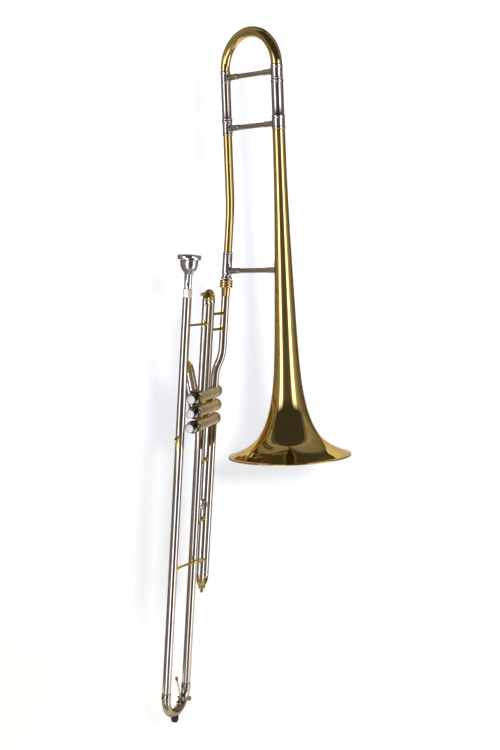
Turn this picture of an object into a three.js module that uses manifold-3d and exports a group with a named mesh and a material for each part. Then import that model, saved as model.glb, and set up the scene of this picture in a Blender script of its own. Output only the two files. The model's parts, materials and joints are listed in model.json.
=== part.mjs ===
// Valve trombone: bell section, tuning slide, valve section with three pistons, and mouthpiece.
// Millimetres, +Z up. The origin is the centre of the bell's rim, and +Z runs up the bell's axis
// to the tuning bow. The bell stands at x = 0 and the neckpipe at x = -legSpacing.

import * as THREE from 'three';
import { mergeVertices } from 'three/addons/utils/BufferGeometryUtils.js';
import Module from 'manifold-3d';

const wasm = await Module();
wasm.setup();

// Driving dimensions

const seam = 0.3;          // gap between pieces that touch, and between parts that slide
const overrun = 4;         // how far a cutting tool runs past what it cuts
const weldDistance = 0.0001;
const ridgeShare = 0.25;   // of a knurled band, each side of its groove

const roundSides = { bell: 32, casing: 18, tube: 12, small: 8 };
const bendSteps = { neckpipe: 5, tuningBow: 14, neckTube: 8, slideBow: 8, lowerBow: 12, hook: 10 };

const section = {
  legSpacing: 115,         // bell axis to neckpipe axis
  elbowDrop: 119.5,        // from the bell's top down to the neckpipe's elbow
  bendAngle: 5.6,          // degrees between the bell's axis and the valve section's
  bendHeading: 28.1,       // degrees from +X in which the valve section's top leans
  valveHeading: 117.5,     // degrees from +X in which the valves run, button to bottom cap
};

const bell = {
  rimRadius: 101.6,
  rimBead: 1.5,
  height: 531.5,
  wall: 1,
};

// Height up the bell and radius, as shares of the bell's height and of its rim radius.
const flareShares = [
  [0.004, 0.976], [0.014, 0.868], [0.03, 0.7], [0.052, 0.548], [0.08, 0.445], [0.115, 0.361],
  [0.16, 0.294], [0.23, 0.234], [0.34, 0.193], [0.5, 0.16], [0.7, 0.125], [0.86, 0.107], [1, 0.1024],
];

const bellSlide = {
  ferruleRadius: 10.9,     // joins the bell's stem to the outer slide tube
  ferruleLength: 23,
  outerRadius: 9.9,
  wall: 0.7,
  length: 57,
  ringRadius: 10.5,
  ringLength: 4,
  legWall: 1,
  legInside: 50,           // how much of the inner leg is in the outer tube at rest
  bowFerruleRadius: 9.9,
  bowFerruleLength: 23.6,  // between the outer tube and the bow, with the slide home
};

const neckSlide = {
  ferruleRadius: 8.3,
  ferruleLength: 25,
  ferruleDrop: 1.5,        // from the bell's top to the ferrule's foot
  ringRadius: 8.9,
  ringLength: 3,
  innerRadius: 6.9,
  wall: 0.7,
  endRoom: 9,              // inner tube's end to the bow when the slide is home
};

const tuningBow = { neckRadius: 7.6, bellRadius: 9.4, wall: 1 };

const crossBrace = {
  rodRadius: 4.1,
  socketRadius: 4.9,
  socketLength: 20,
  flangeRadius: 7.5,
  flangeLength: 1.6,
  tuningDrop: 11,          // below the tuning bow's ends
  upperRise: 10.5,         // above the bell's top
  lowerDrop: 106,          // below the neckpipe's bend
};

const bellPatch = { width: 18, height: 36, thickness: 1, sides: 24 };

const neckpipe = { topRadius: 7.4, bottomRadius: 6.6, wall: 0.8, bendRun: 22 };

// Lengths along the neck joint's axis, measured down from the bend.
const neckJoint = {
  ferruleTop: 74,
  ferruleRadius: 8.1,
  ferruleBottom: 116.5,
  ringBottom: 120,
  ringRadius: 9.4,
  tenonRadius: 5.7,
  tenonBottom: 146,
  boreRadius: 4.9,
  nutTop: 121.4,
  nutBottom: 134.4,
  nutRadius: 10.9,
  nutGrooves: 3,
  nutGrooveDepth: 0.7,
  nutLip: 2,
  nutWall: 2.2,
  threadTop: 125.4,
  collarBottom: 148.7,
  collarRadius: 7.5,
  collarFootRadius: 7.1,
};

// The neck tube's bend: its height, and the straight run from it down to the first casing.
const neckTube = { radius: 6.8, wall: 0.7, bendLength: 51, straight: 14.5 };

// The valve section is laid out from the valves' axes: x along them from the buttons' faces to
// the bottom caps, y to the side of them, and z up. Drops are measured down from the bend.
const place = {
  neck: { x: 131, y: -9.7 },
  lead: { x: -8.5, y: 11.9 },
  back: { x: 58, y: 0 },
  neckPort: 128,
  firstSlide: 58.5,
  secondSlide: 60,
  thirdSlide: 108,
  knuckle: [112, 84],
};

const valve = {
  count: 3,
  drop: 311.5,
  spacing: 23.6,
  casingRadius: 10,
  boreRadius: 8.9,
  casingStart: 24,
  casingEnd: 136,
  portRadius: 5.8,
  topCapRadius: 10.9,
  topCapLength: 5.5,
  topCapTop: 1.6,
  bottomCapRadius: 11.2,
  bottomCapLength: 5.7,
  bottomCapTop: 1.8,
  spigotRadius: 8.6,
  spigotWall: 1,
  spigotLength: 5,
};

const piston = {
  radius: 8.6,
  start: 33,
  length: 70,
  stemRadius: 2.6,
  stemHoleRadius: 3.2,
  crossBore: 5.6,
  springSeatRadius: 4,
  springSeatLength: 3,
};

// Places of the cross bores along the piston, as shares of its length.
const crossBoreShares = [0.2, 0.5, 0.8];

const button = {
  radius: 7.1,
  length: 3,
  pearlRadius: 6.2,
  pearlLength: 1.1,
};

const valveSpring = { radius: 6.4, wireRadius: 0.6, turns: 5, arcSides: 2, stepsPerTurn: 7 };

const slideTube = {
  radius: 7.15,
  wall: 0.55,
  innerWall: 0.7,
  legSpacing: 21,
  sleeveLength: 7,
  sleeveRadius: 7.6,
};

const firstSlide = { top: 146, inside: 90 };
const thirdSlide = { bottom: 632, inside: 150, knobLength: 9 };
const secondSlide = {
  lean: 15,                // degrees from the valve section's axis, towards the lead tube
  length: 64,
  inside: 36,
};

const slideKnob = { footRadius: 5.4, footLength: 1.6, stemRadius: 1.6, ballRadius: 3 };

const leadTube = { radius: 7.15, wall: 0.7 };

const receiver = { top: 132.8, length: 12.2, wall: 0.9, ringHeight: 3, ringDepth: 0.5 };

const mouthpiece = {
  top: 78,
  rimRadius: 19.2,
  rimInner: 12.9,
  rimFlat: 4,
  rimLength: 8.6,
  cupRadius: 15,
  cupMiddleRadius: 14,
  cupLowRadius: 10.4,
  cupLength: 31,
  cupDepth: 24,
  throatRadius: 3.3,
  throatLength: 4,
  waistRadius: 6.4,
  shankRadius: 5.5,
  shankEnd: 159,
  boreEndRadius: 4.6,
};

const bow = { drop: 810, radius: 7.15, wall: 0.8, ferruleWall: 0.7, ferruleLength: 10.3, ferruleBelow: 1.6 };

const bumper = { radius: 6.4, length: 9.5, footRadius: 4.9, saddle: 4 };

const waterKey = {
  round: 38,               // degrees round the bow from the back tube's end
  saddleRadius: 5,
  saddleHeight: 2,
  postSpacing: 10,
  postThickness: 1.4,
  postWidth: 4.6,
  pinHeight: 5,
  pinRadius: 1,
  hubRadius: 2.2,
  armWidth: 4,
  armThickness: 1.6,
  armLength: 37,
  armTurn: 72,             // degrees between the tube and the thumb's arm
  thumbWidth: 7.5,
  thumbLength: 11,
  corkReach: 8,
  corkRadius: 3,
  corkLength: 2.2,
  nippleRadius: 2.6,
  drainRadius: 1.2,
};

const sideCork = { round: 28, radius: 4, length: 5.5 };

const hook = {
  drop: 371,
  turn: -90,               // degrees from the layout's Y towards its X in which the hook stands out
  width: 5,
  thickness: 1.6,
  radius: 7.6,
  sweep: 215,              // degrees of arc from the plate over to the hook's free end
  plateWidth: 9,
  plateHeight: 22,
  plateThickness: 1.1,
};

const strut = {
  rodRadius: 1.9,
  socketLength: 0,
  flangeRadius: 5,
  flangeLength: 1.3,
  offset: 4.5,             // how far beside the back tube's axis its struts start
  flank: 7.3,
  leadToFirstRise: 120,    // above the first casing's axis
  leadToBackRise: 220,     // above the lower bow's ends
  backFalls: [112.5, 215.5], // below the first casing's axis
  casingReach: 36,
  footLength: 7,
  footHeight: 9,
};

// Places of the struts along the neck tube, as shares of its run from the collar to its bend.
const neckStrutShares = [0.33, 0.63];

const lyre = {
  drop: 494,
  width: 7,
  depth: 7,
  height: 17,
  holeWidth: 3.4,
  screwRadius: 1.5,
  screwReach: 9,
  headRadius: 4.2,
  headThickness: 1.6,
};

// Finishes

const finish = (color, roughness, metalness) => new THREE.MeshStandardMaterial(
  { color, roughness, metalness });
const brass = finish(0xb9973f, 0.22, 1);
const rawBrass = finish(0xa98a52, 0.35, 1);
const nickel = finish(0xb8b4aa, 0.2, 1);
const silver = finish(0xd2d0ca, 0.15, 1);
const steel = finish(0x8d8d8d, 0.35, 1);
const pearl = finish(0xeceae2, 0.3, 0);
const rubber = finish(0x151515, 0.6, 0);
const cork = finish(0x7a4f24, 0.85, 0);

// Shape helpers

const radians = THREE.MathUtils.degToRad;
const up = new THREE.Vector3(0, 0, 1);
const at = (x, y, z) => new THREE.Vector3(x, y, z);

function bare(geometry) {
  const copy = geometry.clone();
  copy.deleteAttribute('normal');
  copy.deleteAttribute('uv');
  return mergeVertices(copy, weldDistance);
}

// Turns a closed mesh's triangles round if they face inwards.
function outward(geometry) {
  const merged = bare(geometry);
  const corners = merged.attributes.position;
  const index = merged.index.array;
  const [a, b, c] = [new THREE.Vector3(), new THREE.Vector3(), new THREE.Vector3()];
  let volume = 0;
  for (let i = 0; i < index.length; i += 3) {
    a.fromBufferAttribute(corners, index[i]);
    b.fromBufferAttribute(corners, index[i + 1]);
    c.fromBufferAttribute(corners, index[i + 2]);
    volume += a.dot(b.cross(c));
  }
  if (volume < 0) {
    for (let i = 0; i < index.length; i += 3) [index[i], index[i + 1]] = [index[i + 1], index[i]];
  }
  merged.computeVertexNormals();
  return merged;
}

function solidOf(geometry) {
  const merged = bare(geometry);
  const vertProperties = new Float32Array(merged.attributes.position.array);
  const triVerts = new Uint32Array(merged.index.array);
  const surface = new wasm.Mesh({ numProp: 3, vertProperties, triVerts });
  surface.merge();
  return new wasm.Manifold(surface);
}

function geometryOf(solid) {
  const mesh = solid.getMesh();
  const geometry = new THREE.BufferGeometry();
  geometry.setAttribute('position', new THREE.BufferAttribute(new Float32Array(mesh.vertProperties), 3));
  geometry.setIndex(new THREE.BufferAttribute(new Uint32Array(mesh.triVerts), 1));
  geometry.computeVertexNormals();
  return geometry;
}

const join = (first, ...others) => geometryOf(
  others.reduce((sum, g) => sum.add(solidOf(g)), solidOf(first)));
const cut = (first, ...tools) => geometryOf(
  tools.reduce((rest, g) => rest.subtract(solidOf(g)), solidOf(first)));

// A turned solid about +Z. The profile lists [radius, height], up its outside; a profile that
// leaves the axis closes on itself. A point on the axis makes one corner, and any other a ring.
function turned(profile, sides = roundSides.tube) {
  const positions = [];
  const rings = profile.map(([radius, height]) => {
    const first = positions.length / 3;
    const count = radius > 0 ? sides : 1;
    for (let j = 0; j < count; j += 1) {
      const angle = (2 * Math.PI * j) / sides;
      positions.push(radius * Math.sin(angle), -radius * Math.cos(angle), height);
    }
    return { first, count };
  });
  const corner = (ring, j) => ring.first + (j % ring.count);
  const index = [];
  const bands = profile[0][0] > 0 ? rings.length : rings.length - 1;
  for (let r = 0; r < bands; r += 1) {
    const low = rings[r];
    const high = rings[(r + 1) % rings.length];
    for (let j = 0; j < sides; j += 1) {
      if (low.count > 1) index.push(corner(low, j), corner(low, j + 1), corner(high, j + 1));
      if (high.count > 1) index.push(corner(low, j), corner(high, j + 1), corner(high, j));
    }
  }
  const geometry = new THREE.BufferGeometry();
  geometry.setAttribute('position', new THREE.Float32BufferAttribute(positions, 3));
  geometry.setIndex(index);
  return outward(geometry);
}

const rod = (radius, length, sides) => turned([[0, 0], [radius, 0], [radius, length], [0, length]], sides);

const pipe = (radius, bore, length, sides) => turned(
  [[radius, 0], [radius, length], [bore, length], [bore, 0]], sides);

function block(width, depth, height) {
  return new THREE.BoxGeometry(width, depth, height).translate(0, 0, height / 2);
}

// Lays a solid that was made along +Z on the line from one point towards another.
function aimed(geometry, from, to, roll = 0) {
  const direction = to.clone().sub(from).normalize();
  const turn = new THREE.Quaternion().setFromUnitVectors(up, direction);
  const spin = new THREE.Quaternion().setFromAxisAngle(up, roll);
  return geometry.clone().applyQuaternion(turn.multiply(spin)).translate(from.x, from.y, from.z);
}

// A tube along a flat curve. Each ring gives a share of the curve's length and the tube's radius
// there, first up its outside and then up its bore, and `normal` is square to the curve's plane.
function sweptTube(curve, normal, outerRings, boreRings, sides = roundSides.tube) {
  const rings = [...outerRings, ...boreRings.slice().reverse()];
  const positions = [];
  for (const [share, radius] of rings) {
    const centre = curve.getPoint(share);
    const across = curve.getTangent(share).cross(normal).normalize();
    for (let j = 0; j < sides; j += 1) {
      const angle = (2 * Math.PI * j) / sides;
      const point = centre.clone()
        .addScaledVector(normal, radius * Math.cos(angle))
        .addScaledVector(across, radius * Math.sin(angle));
      positions.push(point.x, point.y, point.z);
    }
  }
  const index = [];
  for (let r = 0; r < rings.length; r += 1) {
    const next = (r + 1) % rings.length;
    for (let j = 0; j < sides; j += 1) {
      const k = (j + 1) % sides;
      index.push(r * sides + j, r * sides + k, next * sides + k);
      index.push(r * sides + j, next * sides + k, next * sides + j);
    }
  }
  const geometry = new THREE.BufferGeometry();
  geometry.setAttribute('position', new THREE.Float32BufferAttribute(positions, 3));
  geometry.setIndex(index);
  return outward(geometry);
}

const bentTube = (curve, shares, normal, outerAt, boreAt) => sweptTube(curve, normal,
  shares.map((share) => [share, outerAt(share)]), shares.map((share) => [share, boreAt(share)]));

const evenShares = (steps) => Array.from({ length: steps + 1 }, (_, i) => i / steps);

// Shares of a joined path's length: the ends of its straight runs, and steps along its bends.
function pathShares(path, steps) {
  const reached = [0, ...path.getCurveLengths()];
  const total = reached[reached.length - 1];
  const shares = [0];
  for (const [i, piece] of path.curves.entries()) {
    const count = piece.isLineCurve3 ? 1 : steps;
    for (let k = 1; k <= count; k += 1) {
      const length = reached[i] + (k / count) * (reached[i + 1] - reached[i]);
      shares.push(Math.min(1, length / total));
    }
  }
  return shares;
}

// A half circle from one leg's end to the other's, bulging towards `bulge`.
class HalfTurn extends THREE.Curve {
  constructor(start, end, bulge) {
    super();
    this.centre = start.clone().add(end).multiplyScalar(0.5);
    this.arm = start.clone().sub(this.centre);
    this.out = bulge.clone().normalize().multiplyScalar(this.arm.length());
    this.normal = this.arm.clone().cross(this.out).normalize();
  }

  getPoint(share) {
    const angle = Math.PI * share;
    return this.centre.clone()
      .addScaledVector(this.arm, Math.cos(angle))
      .addScaledVector(this.out, Math.sin(angle));
  }
}

function mesh(name, geometry, material) {
  const piece = new THREE.Mesh(geometry, material);
  piece.name = name;
  return piece;
}

const trombone = new THREE.Group();
const bellSection = new THREE.Group();
const tuningSlide = new THREE.Group();
const valveSection = new THREE.Group();
trombone.add(bellSection, tuningSlide);
bellSection.add(valveSection);

// Places that several pieces share

const bellFerruleTop = bell.height + seam + bellSlide.ferruleLength;
const bellTubeStart = bellFerruleTop;
const bellTubeTop = bellTubeStart + bellSlide.length;
const bellBore = bellSlide.outerRadius - bellSlide.wall;
const bellLegRadius = bellBore - seam;
const bowStart = bellTubeTop + seam + bellSlide.bowFerruleLength + seam;
const neckFerruleHeight = bell.height - neckSlide.ferruleDrop;
const neckFerruleTop = neckFerruleHeight + neckSlide.ferruleLength;
const neckLegBottom = neckFerruleTop + seam;
const neckX = -section.legSpacing;
const bendHeight = bell.height - section.elbowDrop;
const lowerBraceHeight = bendHeight - crossBrace.lowerDrop;
const tuningBraceHeight = bowStart - crossBrace.tuningDrop;
const upperBraceHeight = bell.height + crossBrace.upperRise;

const lean = new THREE.Vector3(
  Math.cos(radians(section.bendHeading)), Math.sin(radians(section.bendHeading)), 0);
const bendPoint = at(neckX, 0, bendHeight);
const neckUp = up.clone().multiplyScalar(Math.cos(radians(section.bendAngle)))
  .addScaledVector(lean, Math.sin(radians(section.bendAngle)));
const onNeck = (drop) => bendPoint.clone().addScaledVector(neckUp, -drop);

// Bell

function bellShell() {
  const outer = flareShares.map(([height, radius]) => [radius * bell.rimRadius, height * bell.height]);
  const bead = [];
  for (let turn = -2; turn <= 2; turn += 1) {
    const angle = (turn * Math.PI) / 4;
    bead.push([
      bell.rimRadius - bell.rimBead + bell.rimBead * Math.cos(angle),
      bell.rimBead + bell.rimBead * Math.sin(angle),
    ]);
  }
  const inner = outer.map(([radius, height]) => [radius - bell.wall, height]).reverse();
  const lip = [bell.rimRadius - 2 * bell.rimBead - bell.wall, 0];
  return turned([...bead, ...outer.slice(1), ...inner.slice(0, -1), lip], roundSides.bell);
}

function bellRadiusAt(height) {
  const share = height / bell.height;
  const next = flareShares.findIndex(([reached]) => reached >= share);
  const [lowHeight, lowRadius] = flareShares[next - 1];
  const [highHeight, highRadius] = flareShares[next];
  const part = (share - lowHeight) / (highHeight - lowHeight);
  return bell.rimRadius * (lowRadius + part * (highRadius - lowRadius));
}

const patchRadius = bellRadiusAt(lowerBraceHeight - bellPatch.height / 2) + seam;

// The oval plate on the bell's stem that the lower brace is soldered to.
function bellPatchPlate() {
  const outline = rod(1, 1, bellPatch.sides)
    .scale(bellPatch.height / 2, bellPatch.width / 2, section.legSpacing / 2);
  const oval = aimed(outline, at(0, 0, lowerBraceHeight), at(neckX, 0, lowerBraceHeight));
  const sleeve = pipe(patchRadius + bellPatch.thickness, patchRadius, 2 * bellPatch.height, roundSides.bell)
    .translate(0, 0, lowerBraceHeight - bellPatch.height);
  return geometryOf(solidOf(sleeve).intersect(solidOf(oval)));
}

// A brace between two tubes: rod, end sockets and flanges, coped to both tubes. Each end gives the
// point it runs to, and the axis, direction and radius of the tube that it is soldered on.
function brace(sizes, from, to) {
  const length = from.point.distanceTo(to.point);
  const start = from.radius + seam;
  const end = length - to.radius - seam;
  const startFlange = start + sizes.flangeLength;
  const endFlange = end - sizes.flangeLength;
  const middle = sizes.socketLength ? [
    [sizes.socketRadius, startFlange + sizes.flangeLength], [sizes.socketRadius, start + sizes.socketLength],
    [sizes.rodRadius, start + sizes.socketLength], [sizes.rodRadius, end - sizes.socketLength],
    [sizes.socketRadius, end - sizes.socketLength], [sizes.socketRadius, endFlange - sizes.flangeLength],
  ] : [
    [sizes.rodRadius, startFlange + sizes.flangeLength], [sizes.rodRadius, endFlange - sizes.flangeLength],
  ];
  const shape = turned([
    [0, 0], [sizes.flangeRadius, 0], [sizes.flangeRadius, startFlange], ...middle,
    [sizes.flangeRadius, endFlange], [sizes.flangeRadius, length], [0, length],
  ], roundSides.small);
  const reach = 2 * sizes.flangeRadius + overrun;
  const tool = (one) => aimed(
    rod(one.radius + seam, 2 * reach, roundSides.tube),
    one.axis.clone().addScaledVector(one.along, -reach), one.axis.clone().addScaledVector(one.along, reach));
  const coped = solidOf(cut(aimed(shape, from.point, to.point), tool(from), tool(to)));
  return geometryOf(largestPart(coped));
}

// Of a coped brace, only the piece between the two tubes is kept.
function largestPart(solid) {
  return solid.decompose().sort((a, b) => b.volume() - a.volume())[0];
}

const upright = (point, radius, along = up) => ({ point, axis: point, along, radius });

function buildBell() {
  bellSection.add(mesh('bell', bellShell(), brass));
  const tubeStart = bellTubeStart - bell.height - seam;
  const tubeEnd = tubeStart + bellSlide.length;
  const tube = mesh('bell_slide_outer_tube', turned([
    [bellSlide.ferruleRadius, 0], [bellSlide.ferruleRadius, tubeStart],
    [bellSlide.outerRadius, tubeStart],
    [bellSlide.outerRadius, tubeEnd - bellSlide.ringLength],
    [bellSlide.ringRadius, tubeEnd - bellSlide.ringLength],
    [bellSlide.ringRadius, tubeEnd],
    [bellBore, tubeEnd], [bellBore, 0],
  ]), nickel);
  tube.position.z = bell.height + seam;
  bellSection.add(tube);
}

// Neckpipe and its ends

function neckpipeCurve() {
  const path = new THREE.CurvePath();
  const run = neckpipe.bendRun;
  const above = bendPoint.clone().addScaledVector(up, run);
  const below = onNeck(run);
  path.add(new THREE.LineCurve3(at(neckX, 0, neckFerruleHeight - seam), above));
  path.add(new THREE.QuadraticBezierCurve3(above, bendPoint.clone(), below));
  path.add(new THREE.LineCurve3(below, onNeck(neckJoint.ferruleTop - seam)));
  return path;
}

function buildNeck() {
  const radiusAt = (share) => neckpipe.topRadius + share * (neckpipe.bottomRadius - neckpipe.topRadius);
  const curve = neckpipeCurve();
  const sideways = lean.clone().cross(up).normalize();
  const pipeSolid = bentTube(curve, pathShares(curve, bendSteps.neckpipe), sideways, radiusAt,
    (share) => radiusAt(share) - neckpipe.wall);
  bellSection.add(mesh('neckpipe', pipeSolid, brass));

  const innerTop = bowStart - neckSlide.endRoom - neckFerruleHeight;
  const inner = mesh('neck_slide_inner_tube', turned([
    [neckSlide.ferruleRadius, 0],
    [neckSlide.ferruleRadius, neckSlide.ferruleLength - neckSlide.ringLength],
    [neckSlide.ringRadius, neckSlide.ferruleLength - neckSlide.ringLength],
    [neckSlide.ringRadius, neckSlide.ferruleLength],
    [neckSlide.innerRadius, neckSlide.ferruleLength],
    [neckSlide.innerRadius, innerTop],
    [neckSlide.innerRadius - neckSlide.wall, innerTop],
    [neckSlide.innerRadius - neckSlide.wall, 0],
  ]), nickel);
  inner.position.set(neckX, 0, neckFerruleHeight);
  bellSection.add(inner);

  const joint = neckJoint;
  const lower = turned([
    [joint.tenonRadius, -joint.tenonBottom],
    [joint.tenonRadius, -joint.ringBottom],
    [joint.ringRadius, -joint.ringBottom],
    [joint.ringRadius, -joint.ferruleBottom - seam],
    [joint.ferruleRadius, -joint.ferruleBottom - seam],
    [joint.ferruleRadius, -joint.ferruleTop],
    [joint.boreRadius, -joint.ferruleTop],
    [joint.boreRadius, -joint.tenonBottom],
  ]);
  const tenon = mesh('neck_tenon_ferrule', lower, nickel);
  const nut = mesh('bell_lock_nut', lockNut(), brass);
  for (const piece of [tenon, nut]) {
    piece.position.copy(bendPoint);
    piece.quaternion.setFromUnitVectors(up, neckUp);
  }
  bellSection.add(tenon, nut);
}

function lockNut() {
  const joint = neckJoint;
  const length = joint.nutBottom - joint.nutTop;
  const threadBore = joint.nutRadius - joint.nutWall;
  const lipBore = joint.tenonRadius + seam;
  const profile = [[joint.nutRadius - joint.nutGrooveDepth, 0]];
  const band = length / joint.nutGrooves;
  for (let i = 0; i < joint.nutGrooves; i += 1) {
    profile.push([joint.nutRadius, (i + ridgeShare) * band]);
    profile.push([joint.nutRadius, (i + 1 - ridgeShare) * band]);
    profile.push([joint.nutRadius - joint.nutGrooveDepth, (i + 1) * band]);
  }
  profile.push([lipBore, length], [lipBore, length - joint.nutLip]);
  profile.push([threadBore, length - joint.nutLip], [threadBore, 0]);
  return turned(profile).translate(0, 0, -joint.nutBottom);
}

// Tuning slide

function buildTuningSlide() {
  const curve = new HalfTurn(at(neckX, 0, bowStart), at(0, 0, bowStart), up);
  const radiusAt = (share) => tuningBow.neckRadius + share * (tuningBow.bellRadius - tuningBow.neckRadius);
  const bowShape = bentTube(curve, evenShares(bendSteps.tuningBow), curve.normal, radiusAt,
    (share) => radiusAt(share) - tuningBow.wall);
  const bowPiece = mesh('tuning_bow', bowShape, brass);

  const legLength = bowStart - seam - neckLegBottom;
  const neckBore = neckSlide.innerRadius + seam;
  const neckRadius = neckBore + neckSlide.wall;
  const neckLeg = mesh('tuning_slide_neck_tube', turned([
    [neckSlide.ringRadius, 0],
    [neckSlide.ringRadius, neckSlide.ringLength],
    [neckRadius, neckSlide.ringLength],
    [neckRadius, legLength], [neckBore, legLength], [neckBore, 0],
  ]), nickel);
  neckLeg.position.set(neckX, 0, neckLegBottom);

  const innerLength = bowStart - seam - (bellTubeTop - bellSlide.legInside);
  const shoulder = bellTubeTop + seam - (bellTubeTop - bellSlide.legInside);
  const bellLegBore = bellLegRadius - bellSlide.legWall;
  const bellLeg = mesh('tuning_slide_bell_tube', turned([
    [bellLegRadius, 0], [bellLegRadius, shoulder],
    [bellSlide.bowFerruleRadius, shoulder],
    [bellSlide.bowFerruleRadius, innerLength],
    [bellLegBore, innerLength], [bellLegBore, 0],
  ]), nickel);
  bellLeg.position.z = bellTubeTop - bellSlide.legInside;

  const tuningBrace = brace(crossBrace,
    upright(at(neckX, 0, tuningBraceHeight), neckRadius),
    upright(at(0, 0, tuningBraceHeight), bellSlide.bowFerruleRadius));
  tuningSlide.add(bowPiece, neckLeg, bellLeg, mesh('tuning_slide_brace', tuningBrace, nickel));

  const upperBrace = brace(crossBrace,
    upright(at(neckX, 0, upperBraceHeight), neckSlide.ferruleRadius),
    upright(at(0, 0, upperBraceHeight), bellSlide.ferruleRadius));
  const lowerEnd = onNeck((bendHeight - lowerBraceHeight) / neckUp.z);
  const lowerBrace = brace(crossBrace,
    upright(lowerEnd, neckJoint.ferruleRadius, neckUp),
    upright(at(0, 0, lowerEnd.z), patchRadius));
  bellSection.add(mesh('upper_brace', upperBrace, nickel));
  bellSection.add(mesh('lower_brace', join(lowerBrace, bellPatchPlate()), nickel));
}

// Valve section: its group has the valves' layout, with its origin at the bend.

valveSection.position.copy(bendPoint);
valveSection.quaternion.setFromAxisAngle(
  at(-Math.sin(radians(section.bendHeading)), Math.cos(radians(section.bendHeading)), 0),
  radians(section.bendAngle));
const layout = new THREE.Group();
layout.rotation.z = radians(section.valveHeading);
valveSection.add(layout);

const spot = (x, y, drop) => at(x - place.neck.x, y - place.neck.y, -drop);
const valveDrop = (number) => valve.drop + number * valve.spacing;
const neckBendTop = () => valveDrop(0) - valve.casingRadius - neckTube.straight - neckTube.bendLength;
const add = (name, geometry, material) => layout.add(mesh(name, geometry, material));

const casingTool = (number, radius) => aimed(
  rod(radius, valve.casingEnd - valve.casingStart + 2 * overrun, roundSides.casing),
  spot(valve.casingStart - overrun, 0, valveDrop(number)),
  spot(valve.casingEnd + overrun, 0, valveDrop(number)));

// Each port is a vertical hole in a casing's upper or lower side.
const ports = [
  { valve: 0, x: place.neckPort, above: true },
  { valve: 0, x: place.firstSlide, above: true },
  { valve: 0, x: place.firstSlide + slideTube.legSpacing, above: true },
  { valve: 2, x: place.thirdSlide, above: false },
  { valve: 2, x: place.thirdSlide + slideTube.legSpacing, above: false },
  { valve: 2, x: place.back.x, above: false },
];

// The three casings, brazed together by their knuckles, with the two brackets to the lead tube.
function valveBlock() {
  const length = valve.casingEnd - valve.casingStart;
  const numbers = Array.from({ length: valve.count }, (_, number) => number);
  const along = (number, radius, start, end) => aimed(
    rod(radius, end - start, roundSides.casing),
    spot(start, 0, valveDrop(number)), spot(end, 0, valveDrop(number)));
  const shells = numbers.map((number) => along(
    number, valve.casingRadius, valve.casingStart, valve.casingEnd));
  const bores = numbers.map((number) => along(
    number, valve.boreRadius, valve.casingStart - overrun, valve.casingEnd + overrun));
  const knuckles = place.knuckle.map((x, pair) => rod(slideTube.radius, valve.spacing)
    .translate(...spot(x, 0, valveDrop(pair + 1))));
  const holes = place.knuckle.map((x, pair) => rod(valve.portRadius, valve.spacing, roundSides.small)
    .translate(...spot(x, 0, valveDrop(pair + 1))));
  for (const port of ports) {
    const drop = valveDrop(port.valve) + (port.above ? 0 : 2 * valve.casingRadius);
    const hole = rod(valve.portRadius, 2 * valve.casingRadius, roundSides.small);
    holes.push(hole.translate(...spot(port.x, 0, drop)));
  }
  const beside = valve.topCapRadius + strut.rodRadius + 2 * seam;
  const brackets = [0, valve.count - 1].flatMap((number) => {
    const drop = valveDrop(number);
    const arm = aimed(turned([
      [0, 0], [strut.flangeRadius, 0], [strut.flangeRadius, leadTube.radius + seam + strut.flangeLength],
      [strut.rodRadius, leadTube.radius + seam + 2 * strut.flangeLength],
      [strut.rodRadius, strut.casingReach - place.lead.x], [0, strut.casingReach - place.lead.x],
    ], roundSides.small), spot(place.lead.x, beside, drop), spot(place.back.x, beside, drop));
    const foot = block(strut.footLength, beside - valve.boreRadius, strut.footHeight).translate(
      ...spot(strut.casingReach - strut.footLength / 2, (beside + valve.boreRadius) / 2,
        drop + strut.footHeight / 2));
    const clear = rod(leadTube.radius + seam, 4 * strut.flangeRadius, roundSides.casing)
      .translate(...spot(place.lead.x, place.lead.y, drop + 2 * strut.flangeRadius));
    return [geometryOf(largestPart(solidOf(cut(arm, clear)))), foot];
  });
  return cut(join(...shells, ...knuckles, ...brackets), ...bores, ...holes);
}

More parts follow.
